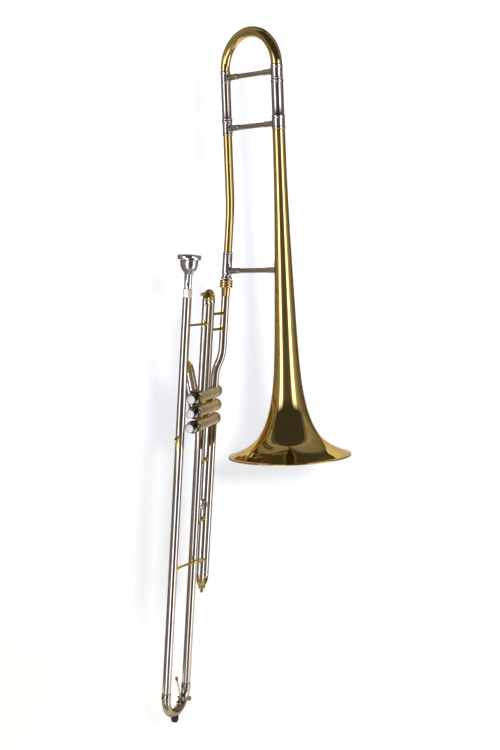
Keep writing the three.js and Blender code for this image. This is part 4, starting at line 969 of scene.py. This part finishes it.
class OBJECT_OT_trombone_tubes(bpy.types.Operator):
    """Makes the neck tube, its collar, the lead tube with its receiver and the back tube"""
    bl_idname = "object.trombone_tubes"
    bl_label = "Valve section tubes"

    def execute(self, context):
        lead = turned("lead_tube", [
            (TUBE, -809.7), (TUBE, -146.4), (6.7, -146), (6.7, -134), (6.4, -133.6), (6.3, -145), (6.45, -159.3),
            (6.45, -809.7)], 64, at_spot(*LEAD, 0), 0.3)
        stand_in(lead, "valve_section", "nickel_silver")
        start, end = spot(*LEAD, 146), spot(*LEAD, 132.8)
        height = (end - start).length / MM
        receiver = turned("mouthpiece_receiver", [(6.5, 0), (8, 0), (8, height), (6.5, height)], 6,
                          toward(start, end, turn_about(RECEIVER_TURN, "Z") @ LEVEL), 0)
        placed(bevelled(receiver, 0.3), "valve_section", "nickel_silver")
        back = sleeve("back_tube", TUBE, 6.45, -809.7, -valve_drop(2), at_spot(*BACK, 0))
        stand_in(carved(back, casing_tool(2)), "valve_section", "nickel_silver")

        # The neck tube bends out and back again on its way from the collar to the first valve.
        top, bend_top, bend_bottom, end = 149, 236, 287, valve_drop(0) - 5
        shift = Vector((NECK_PORT - NECK[0], -NECK[1]))
        turn = 2 * math.atan(shift.length / (bend_bottom - bend_top))
        bend = (bend_bottom - bend_top) / (2 * math.sin(turn))
        moves = [(bend_top - top,), (math.degrees(turn), bend, 18, NECK_TUBE),
                 (-math.degrees(turn), bend, 18, NECK_TUBE), (end - bend_bottom,)]
        place = toward(spot(*NECK, top), spot(*NECK, top + 1), way(*shift, 0))
        neck = swept("neck_tube", NECK_TUBE, moves, 0.7, place, 56)
        stand_in(carved(neck, casing_tool(0)), "valve_section", "nickel_silver")
        collar = turned("neck_collar", [
            (7.0, -148.7), (7.1, -148.2), (7.1, -146.4), (7.3, -145.6), (7.5, -135), (8.1, -134.7), (8.1, -125.4),
            (6, -125.4), (6, -148.7)], 64, NECK_FRAME, 0.25)
        stand_in(collar, "valve_section", "yellow_brass")
        return {"FINISHED"}


# Lower bow

BOW_ENDS = spot(*BACK, BOW_DROP), spot(*LEAD, BOW_DROP)


def bow_place(degrees):
    """A place on the bow's middle line, so far round from the back tube, and the ways out and aside."""
    start, end = BOW_ENDS
    across = (start - end).normalized()
    out = across * math.cos(math.radians(degrees)) - LAYOUT_UP * math.sin(math.radians(degrees))
    return (start + end) / 2 + out * (start - end).length / 2, out, across.cross(LAYOUT_UP)


def bow_tube(name, radius, wall):
    start, end = BOW_ENDS
    moves = [(180, (start - end).length / MM / 2, 56, radius)]
    return swept(name, radius, moves, wall, toward(start, start - LAYOUT_UP, end - start), 56)


def key_frame():
    """The water key's frame: +Z out of the tube on the bow's inner side, +X up along it."""
    centre, out, side = bow_place(KEY_ANGLE)
    along = out.cross(side)
    return toward(centre, centre - out, along * math.copysign(1, along.z))


class OBJECT_OT_trombone_bow(bpy.types.Operator):
    """Bends the lower bow, with its ferrules, its rubber bumper and its cork stud"""
    bl_idname = "object.trombone_bow"
    bl_label = "Lower bow"

    def execute(self, context):
        parts = [bow_tube("lower_bow", TUBE, 0.8)]
        for foot in BOW_ENDS:
            parts.append(turned("ferrule", [
                (7.6, -1.6), (7.95, -1.1), (7.95, 0.3), (7.75, 0.9), (7.75, 6.9), (7.95, 7.5), (7.95, 8.2),
                (7.5, 8.7), (7.2, 8.7), (7.2, -1.6)], 64, toward(foot, foot + LAYOUT_UP), 0.25))
        parts.append(turned("nipple", [
            (0, 5), (3.4, 5), (3.4, 7.4), (2.6, 8.2), (2.4, 9.4), (1.4, 9.4), (1.2, 9), (1.2, 6)], 40,
            key_frame() @ moved(NIPPLE, 0, 0), 0.2, False))
        # The lower bow takes the darker copy of nickel silver: painted shade.
        stand_in(joined("lower_bow", parts), "valve_section", "nickel_silver", "dull_nickel")

        swollen = bow_tube("swollen", TUBE + 0.02, 0)
        edit(swollen, "DESELECT")
        bpy.ops.mesh.select_non_manifold()
        bpy.ops.mesh.edge_face_add()
        bpy.ops.mesh.select_all(action="SELECT")
        bpy.ops.mesh.normals_make_consistent(inside=False)
        mode("OBJECT")
        crown, down, _ = bow_place(90)
        bumper = turned("bow_bumper", [
            (0, 5.5), (6.4, 5.5), (6.4, 12.6), (6.1, 14), (5.3, 15.9), (4.4, 16.5), (0, 16.6)], 56,
            toward(crown, crown + down), 0.6)
        stand_in(kept_largest(carved(bumper, swollen, keep=True)), "valve_section", "black_rubber")
        centre, out, side = bow_place(STUD_ANGLE)
        stud = turned("bow_side_cork", [(0, 4), (4, 4), (4, 9), (3.9, 11.2), (3.4, 12), (0, 12.1)], 40,
                      toward(centre, centre + (out + side).normalized()), 0.4)
        stand_in(kept_largest(carved(stud, swollen)), "valve_section", "cork")
        return {"FINISHED"}


class OBJECT_OT_trombone_water_key(bpy.types.Operator):
    """Makes the water key on the lower bow: saddle, lever and cork pad"""
    bl_idname = "object.trombone_water_key"
    bl_label = "Water key"

    def execute(self, context):
        place = key_frame()
        pin = TUBE + 5
        across = moved(0, 0, pin) @ turn_about(90, "X")
        parts = [turned("saddle", [(0, 5.6), (5, 5.6), (5, 8), (4.2, 9), (0, 9.1)], 48, soft=0.4)]
        for side in (-1, 1):
            parts += [
                bar("cheek", (4.6, 1.4, pin + 0.6 - TUBE), (0, side * 4.3, (pin + 0.6 + TUBE) / 2), WORLD, 0.3),
                rod("ear", 2.3, -0.7, 0.7, moved(0, side * 4.3, 0) @ across),
                turned("screw", [(0, 0), (1.5, 0), (1.7, 0.4), (1.2, 0.9), (0, 1)], 28,
                       moved(0, side * 4.9, pin) @ turn_about(-90 * side, "X"), 0.15)]
        parts.append(rod("pin", 1, -4.85, 4.85, across, 24))
        saddle = settled(joined("water_key_saddle", parts), place)
        stand_in(saddle, "valve_section", "nickel_silver")

        thumb = turned("thumb", [
            (0, -0.7), (2.6, -0.8), (3.1, -0.2), (3.1, 0.3), (2.5, 0.7), (0, 0.8)], 40, soft=0.3)
        settled(stretched(thumb, 1.5), moved(0, 0, 41.6) @ turn_about(-72, "Y"))
        arms = joined("arms", [bar("arm", (1.6, 3.2, 36), (0, 0, 19.4), WORLD, 0.4), thumb])
        parts = [
            sleeve("barrel", 2.2, 1.3, -3.3, 3.3, across, 40), settled(arms, moved(0, 0, pin) @ turn_about(27, "Y")),
            bar("tail", (8.6, 3.4, 1.5), (-5.2, 0, pin + 1.4), WORLD, 0.4),
            turned("pad", [(0, 0), (3.7, 0), (3.8, 0.4), (3.6, 1.3), (2.4, 1.8), (0, 1.9)], 40,
                   moved(NIPPLE, 0, pin + 0.6), 0.25)]
        stand_in(settled(joined("water_key_lever", parts), place), "water_key", "nickel_silver")
        cork = turned("water_key_cork", [(0, 0), (2.9, 0), (3, 0.3), (3, 1.9), (2.8, 2.15), (0, 2.15)], 36,
                      place @ moved(NIPPLE, 0, pin - 1.85), 0.2)
        stand_in(cork, "water_key", "cork")
        return {"FINISHED"}


class OBJECT_OT_trombone_mouthpiece(bpy.types.Operator):
    """Turns the mouthpiece with its rim, cup and shank"""
    bl_idname = "object.trombone_mouthpiece"
    bl_label = "Mouthpiece"

    def execute(self, context):
        # Radius and drop
        rim = [
            (12.9, 80.2), (13.2, 79.2), (13.9, 78.4), (15, 78), (17, 78), (18.2, 78.3), (19, 79.3), (19.2, 80.6),
            (19.2, 84), (18.9, 85.4), (17.9, 86.2)]
        body = through([
            (15.4, 86.9), (14.6, 90), (14.2, 94), (13.4, 98), (11.6, 102.4), (9, 106), (7.2, 108.6), (6.5, 111)], 4)
        shank = [(6.1, 125), (5.95, 132), (5.9, 132.4), (5.5, 159), (4.8, 159), (4.6, 158.6)]
        inside = through([(3.6, 112), (3.3, 106), (3.4, 102), (5.2, 99.4), (8.6, 95), (11, 90), (12.4, 84.5)], 3)
        profile = [(r, -drop) for r, drop in (*rim, *body, *shank, *inside)]
        piece = turned("mouthpiece", profile, 96, at_spot(*LEAD, 0), 0)
        stand_in(smoothed(piece, 40), "mouthpiece", "silver_plate")
        return {"FINISHED"}


# Struts and fittings

def strut(name, start, end, offset, far_offset, far, waist, middle):
    """A thin strut between two tubes, with a diamond plate on each; an offset sets it beside a tube's axis."""
    side = way(0, -1, 0)
    first, last = start + side * offset * MM, end + side * far_offset * MM
    begin = math.sqrt(TUBE ** 2 - offset ** 2) - 0.3
    finish = (last - first).length / MM - math.sqrt(far ** 2 - far_offset ** 2) + 0.3
    rib = [(0, begin), (3.4, begin), (3.4, begin + 0.9), (waist, begin + 1.8), (middle, begin + 3.6)]
    other = [(r, begin + finish - z) for r, z in rib]
    parts = [turned(name, rib + other[::-1], 40, toward(first, last), 0.3)]
    for centre, radius, facing in ((start, TUBE, last - start), (end, far, first - end)):
        out = (facing - LAYOUT_UP * facing.dot(LAYOUT_UP)).normalized()
        parts.append(plate(centre, LAYOUT_UP, out, radius, 7.2, 4.6, 4))
    return joined(name, parts)


class OBJECT_OT_trombone_struts(bpy.types.Operator):
    """Makes the thin brass struts of the valve section"""
    bl_idname = "object.trombone_struts"
    bl_label = "Struts"

    def execute(self, context):
        rear, third = (FIRST_LEG + LEG_GAP, 0), (THIRD_LEG, 0)
        # Name, the two tubes' places, drops and offsets
        rows = (
            ("mouthpipe_brace", (*LEAD, 191.5), (FIRST_LEG, 0, 191.5), 0, 4.5),
            ("upper_neck_strut", (*rear, 177.5), (*NECK, 177.5), 0, 0),
            ("lower_neck_strut", (*rear, 203.7), (*NECK, 203.7), 0, 0),
            ("upper_third_slide_strut", (*BACK, 424), (*third, 424), 4.5, 0),
            ("lower_third_slide_strut", (*BACK, 527), (*third, 527), 4.5, 0),
            ("bow_brace", (*LEAD, 590), (*BACK, 590), 4.5, 6.4),
            ("bow_brace_end", (*BACK, 590), (*third, 600), 6.4, 4.5),
        )
        for name, start, end, *offsets in rows:
            girth = (NECK_TUBE, 1.7, 2.4) if "neck" in name else (TUBE, 2.7, 1.9)
            piece = strut(name, spot(*start), spot(*end), *offsets, *girth)
            nodes = [name] if name in frame["nodes"] else []
            placed(piece, "valve_section", "yellow_brass", *nodes)
        return {"FINISHED"}


class OBJECT_OT_trombone_fittings(bpy.types.Operator):
    """Makes the finger hook, and the lyre holder with its screw"""
    bl_idname = "object.trombone_fittings"
    bl_label = "Hook and lyre holder"

    def execute(self, context):
        front = way(-1, 0, 0)
        root = spot(*LEAD, HOOK_DROP)
        seat = plate(root, LAYOUT_UP, front, TUBE, 11, 4.5, 48)
        # The hook's strip starts on its seat, runs up and curls out and down.
        rise, curl, steps = 6 * MM, 6.8 * MM, 24
        bpy.ops.object.select_all(action="DESELECT")
        bpy.ops.mesh.primitive_plane_add(size=1)
        strip = bpy.context.object
        strip.scale = (1.5 * MM, 3.4 * MM, 1)
        edit(applied(strip))
        bpy.ops.mesh.extrude_region_move(TRANSFORM_OT_translate={"value": (0, 0, rise)})
        for _ in range(steps):
            bpy.ops.mesh.spin(steps=1, angle=math.radians(215 / steps), center=(curl, 0, rise), axis=(0, -1, 0))
        bpy.ops.mesh.select_all(action="SELECT")
        bpy.ops.mesh.normals_make_consistent(inside=False)
        mode("OBJECT")
        foot = root + front * (TUBE + 0.9) * MM
        bevelled(settled(strip, toward(foot, foot + LAYOUT_UP, front)), 0.35)
        stand_in(joined("finger_hook", [seat, strip]), "valve_section", "yellow_brass")

        x = THIRD_LEG - TUBE - 3.8
        place, centre = at_spot(x, 0, LYRE_DROP), spot(x, 0, LYRE_DROP)
        outward = toward(centre, centre + front)
        box = bar("lyre_holder", (7.6, 7, 17), (0.6, 0, 0), place, 0.7)
        carved(box, bar("slot", (3.4, 3.4, 30), (0, 0, 0), place, 0.2), rod("thread", 1.7, 0, 9, outward, 24),
               rod("leg", TUBE - 0.02, -20, 20, at_spot(THIRD_LEG, 0, LYRE_DROP), 56))
        seat = plate(spot(THIRD_LEG, 0, LYRE_DROP), LAYOUT_UP, front, TUBE, 10, 6, 48)
        stand_in(joined("lyre_holder", [box, seat]), "valve_section", "nickel_silver")
        screw = turned("lyre_screw", [
            (0, 0.85), (1.4, 0.85), (1.4, 9), (3.9, 9), (4.15, 9.3), (4.15, 10), (4.15, 10.4), (3.9, 10.6), (2, 10.6),
            (1.4, 10.2), (0, 10.1)], 96, outward, 0.12)
        stand_in(knurled(screw, outward, 4.15, 9.1, 10.5, 24), "lyre_screw", "nickel_silver")
        return {"FINISHED"}


# Studio

FLOOR = -0.62            # metres: height of the paper floor, and its sizes
SWEEP_WIDTH = 1.5
SWEEP_FRONT = 0.08
SWEEP_START = 1.1        # where the floor starts to curve up, measured back from the bell's axis
SWEEP_RADIUS = 0.16
SWEEP_HEIGHT = 1.46
GLOW_SPAN = 2            # height over which the paper's own light changes
# Heights and strengths, so that the lit paper shows as white
PAPER_GLOW = ((-0.62, 0.47), (-0.55, 0.33), (-0.42, 0.25), (-0.2, 0.23), (0.3, 0.21), (0.9, 0.11))

# Light of the room round the instrument: degrees to the right of the camera's side, and level.
# The rows are the room's panels, the ceiling and the ground.
ROOM_LEVELS = (
    (-180, 0.9), (-158, 0.85), (-152, 0.2), (-120, 0.16), (-100, 0.24), (-75, 0.27), (-65, 0.5), (-61, 2.7),
    (-41, 2.7), (-37, 0.32), (-28, 0.14), (-16, 0.1), (14, 0.1), (23, 0.2), (28, 0.4), (32, 2.9), (51, 2.9),
    (57, 0.7), (74, 0.32), (104, 0.15), (152, 0.14), (158, 0.85), (180, 0.9))
HIGH_LEVELS = (
    (-180, 0.055), (-158, 0.06), (-146, 0.26), (-122, 0.28), (-100, 0.36), (-88, 0.2), (-76, 0.05), (72, 0.05),
    (84, 0.2), (96, 0.36), (122, 0.26), (146, 0.24), (158, 0.06), (180, 0.055))
LOW_LEVELS = (
    (-180, 0.34), (-84, 0.16), (-60, 0.42), (-36, 0.5), (-14, 0.34), (10, 0.3), (34, 0.5), (56, 0.3), (84, 0.14),
    (180, 0.34))
PANEL_TINT = (0.93, 1.0, 1.35)   # the light panels are a little cooler than the room
LEAN_SHIFT = 28                  # degrees that the panels' lower ends reach to the right
# Upward parts of a direction, between which one thing passes into another
PANEL_LEAN = (-0.08, -0.18)
CEILING = (0.2, 0.32)
GROUND = (-0.56, -0.72)


def ramp(tree, factor, stops):
    """A colour ramp with its stops."""
    node = add_node(tree, "ValToRGB", {"Fac": factor})
    elements = node.color_ramp.elements
    elements.remove(elements[0])
    for i, (position, colour_there) in enumerate(stops):
        element = elements.new(position) if i else elements[0]
        element.position = position
        element.color = colour_there
    return node.outputs["Color"]


def height_of(tree, place):
    return add_node(tree, "SeparateXYZ", {"Vector": place}).outputs["Z"]


def emptied(owner):
    """The node tree of a new world or material, without its first nodes."""
    owner.use_nodes = True
    owner.node_tree.nodes.clear()
    return owner.node_tree


def studio_world(scene):
    """A room of soft upright light panels with dim gaps between them."""
    scene.world = bpy.data.worlds.new("Studio")
    tree = emptied(scene.world)
    place = add_node(tree, "TexCoord").outputs["Generated"]
    height = height_of(tree, place)
    across, ahead = (
        add_node(tree, "VectorMath", {0: place, 1: axis}, operation="DOT_PRODUCT").outputs["Value"]
        for axis in (RIGHT, LEVEL))
    angle = math_node(tree, "ARCTAN2", across, ahead)
    shift = math_node(tree, "MULTIPLY", from_range(tree, height, *PANEL_LEAN), math.radians(LEAN_SHIFT))
    share = from_range(tree, math_node(tree, "SUBTRACT", angle, shift), -math.pi, math.pi)
    light, high, low = (
        ramp(tree, share, [
            ((degrees + 180) / 360, (*(level * c for c in (PANEL_TINT if level > 1 else (1, 1, 1))), 1))
            for degrees, level in levels])
        for levels in (ROOM_LEVELS, HIGH_LEVELS, LOW_LEVELS))
    for row, span in ((high, CEILING), (low, GROUND)):
        light = mixed(tree, from_range(tree, height, *span, interpolation_type="SMOOTHSTEP"), light, row)
    room = add_node(tree, "Background", {"Color": light})
    add_node(tree, "OutputWorld", {"Surface": room.outputs["Background"]})


def backdrop_material(scene):
    """White paper that keeps a soft shadow and is clear from behind."""
    material = bpy.data.materials.new("White paper")
    tree = emptied(material)
    eye = add_node(tree, "LightPath").outputs
    seen = eye["Is Camera Ray"]
    for title in ("Is Glossy Ray", "Is Transmission Ray"):
        seen = math_node(tree, "MAXIMUM", seen, eye[title])
    height = height_of(tree, add_node(tree, "TexCoord").outputs["Object"])
    strengths = ramp(tree, from_range(tree, height, FLOOR, FLOOR + GLOW_SPAN), [
        ((z - FLOOR) / GLOW_SPAN, (s, s, s, 1)) for z, s in PAPER_GLOW])
    glow = add_node(tree, "Emission", {"Strength": math_node(tree, "MULTIPLY", seen, strengths)})
    paper = add_node(tree, "BsdfDiffuse", {"Color": (*scene.trombone_finishes.backdrop, 1)})
    lit = add_node(tree, "AddShader", {0: paper.outputs["BSDF"], 1: glow.outputs["Emission"]})
    mix = add_node(tree, "MixShader", {
        "Fac": add_node(tree, "NewGeometry").outputs["Backfacing"], 1: lit.outputs["Shader"],
        2: add_node(tree, "BsdfTransparent").outputs["BSDF"]})
    add_node(tree, "OutputMaterial", {"Surface": mix.outputs["Shader"]})
    return material


def paper_sweep():
    """A floor that curves up into a wall behind the instrument."""
    piece = point_piece("paper_sweep", (-SWEEP_WIDTH / 2, -SWEEP_FRONT, FLOOR))
    bpy.ops.mesh.extrude_vertices_move(TRANSFORM_OT_translate={"value": (SWEEP_WIDTH, 0, 0)})
    bpy.ops.mesh.select_all(action="SELECT")
    bpy.ops.mesh.extrude_region_move(TRANSFORM_OT_translate={"value": (0, SWEEP_FRONT + SWEEP_START, 0)})
    bpy.ops.mesh.spin(steps=16, angle=math.pi / 2, center=(0, SWEEP_START, FLOOR + SWEEP_RADIUS), axis=(-1, 0, 0))
    bpy.ops.mesh.extrude_region_move(TRANSFORM_OT_translate={"value": (0, 0, SWEEP_HEIGHT)})
    mode("OBJECT")
    return smoothed(settled(piece, Matrix((RIGHT, -LEVEL, UP)).transposed().to_4x4()))


class OBJECT_OT_trombone_stage(bpy.types.Operator):
    """Sets up the paper sweep, the lights and the camera"""
    bl_idname = "object.trombone_stage"
    bl_label = "Stage"

    def execute(self, context):
        scene = context.scene
        scene.view_settings.view_transform = "Standard"
        studio_world(scene)
        sweep = paper_sweep()
        sweep.data.materials.append(backdrop_material(scene))

        target = Vector((-0.08, -0.05, 0.1))
        for name, (x, y, z), size, power in (
                ("Key", (0.1, 2.5, 0.45), 0.1, 40), ("Fill", (1.1, 1.9, 1.0), 1.2, 8),
                ("Top", (0.0, -0.3, 2.0), 1.0, 14)):
            position = RIGHT * x + LEVEL * y + UP * z
            bpy.ops.object.light_add(type="AREA", location=position)
            lamp = context.object
            lamp.name = name
            lamp.data.shape = "DISK"
            lamp.data.size = size
            lamp.data.energy = power
            lamp.visible_glossy = False
            lamp.rotation_euler = (target - position).to_track_quat("-Z", "Y").to_euler()

        bpy.ops.object.camera_add()
        camera = context.object
        camera.name = "Photograph camera"
        roll = math.radians(CAMERA_ROLL)
        x_axis = RIGHT * math.cos(roll) + CAMERA_UP * math.sin(roll)
        y_axis = CAMERA_UP * math.cos(roll) - RIGHT * math.sin(roll)
        turn = Matrix((x_axis, y_axis, BACKWARD)).transposed()
        camera.matrix_world = Matrix.Translation(turn @ (Vector(CAMERA_OFFSET) * -MM)) @ turn.to_4x4()
        camera.data.sensor_fit = "VERTICAL"
        camera.data.sensor_height = SENSOR
        camera.data.lens = FOCAL_PIXELS / PICTURE_HEIGHT * SENSOR
        camera.data.clip_start = 0.01
        scene.camera = camera
        return {"FINISHED"}


class VIEW3D_PT_trombone(bpy.types.Panel):
    bl_label = "Valve trombone"
    bl_space_type = "VIEW_3D"
    bl_region_type = "UI"
    bl_category = "Trombone"

    def draw(self, context):
        for group in SETTINGS:
            values = getattr(context.scene, group)
            box = self.layout.box()
            for name in values.__annotations__:
                box.prop(values, name)
        for operator in OPERATORS:
            self.layout.operator(operator.bl_idname)


SETTINGS = {"bell_sizes": BellSizes, "tube_sizes": TubeSizes, "trombone_finishes": Finishes}
OPERATORS = (
    OBJECT_OT_trombone_finishes, OBJECT_OT_trombone_bell, OBJECT_OT_trombone_bell_tubes,
    OBJECT_OT_trombone_lock_nut, OBJECT_OT_trombone_braces, OBJECT_OT_trombone_tuning_slide,
    OBJECT_OT_trombone_casings, OBJECT_OT_trombone_valves, OBJECT_OT_trombone_slides,
    OBJECT_OT_trombone_tubes, OBJECT_OT_trombone_bow, OBJECT_OT_trombone_water_key,
    OBJECT_OT_trombone_mouthpiece, OBJECT_OT_trombone_struts, OBJECT_OT_trombone_fittings,
    OBJECT_OT_trombone_stage,
)
CLASSES = (*SETTINGS.values(), *OPERATORS, VIEW3D_PT_trombone)


def register():
    for one in CLASSES:
        bpy.utils.register_class(one)
    for name, kind in SETTINGS.items():
        setattr(bpy.types.Scene, name, PointerProperty(type=kind))


def unregister():
    for name in SETTINGS:
        delattr(bpy.types.Scene, name)
    for one in reversed(CLASSES):
        bpy.utils.unregister_class(one)


def main():
    register()
    for operator in OPERATORS:
        group, name = operator.bl_idname.split(".")
        getattr(getattr(bpy.ops, group), name)()


if __name__ == "__main__":
    main()
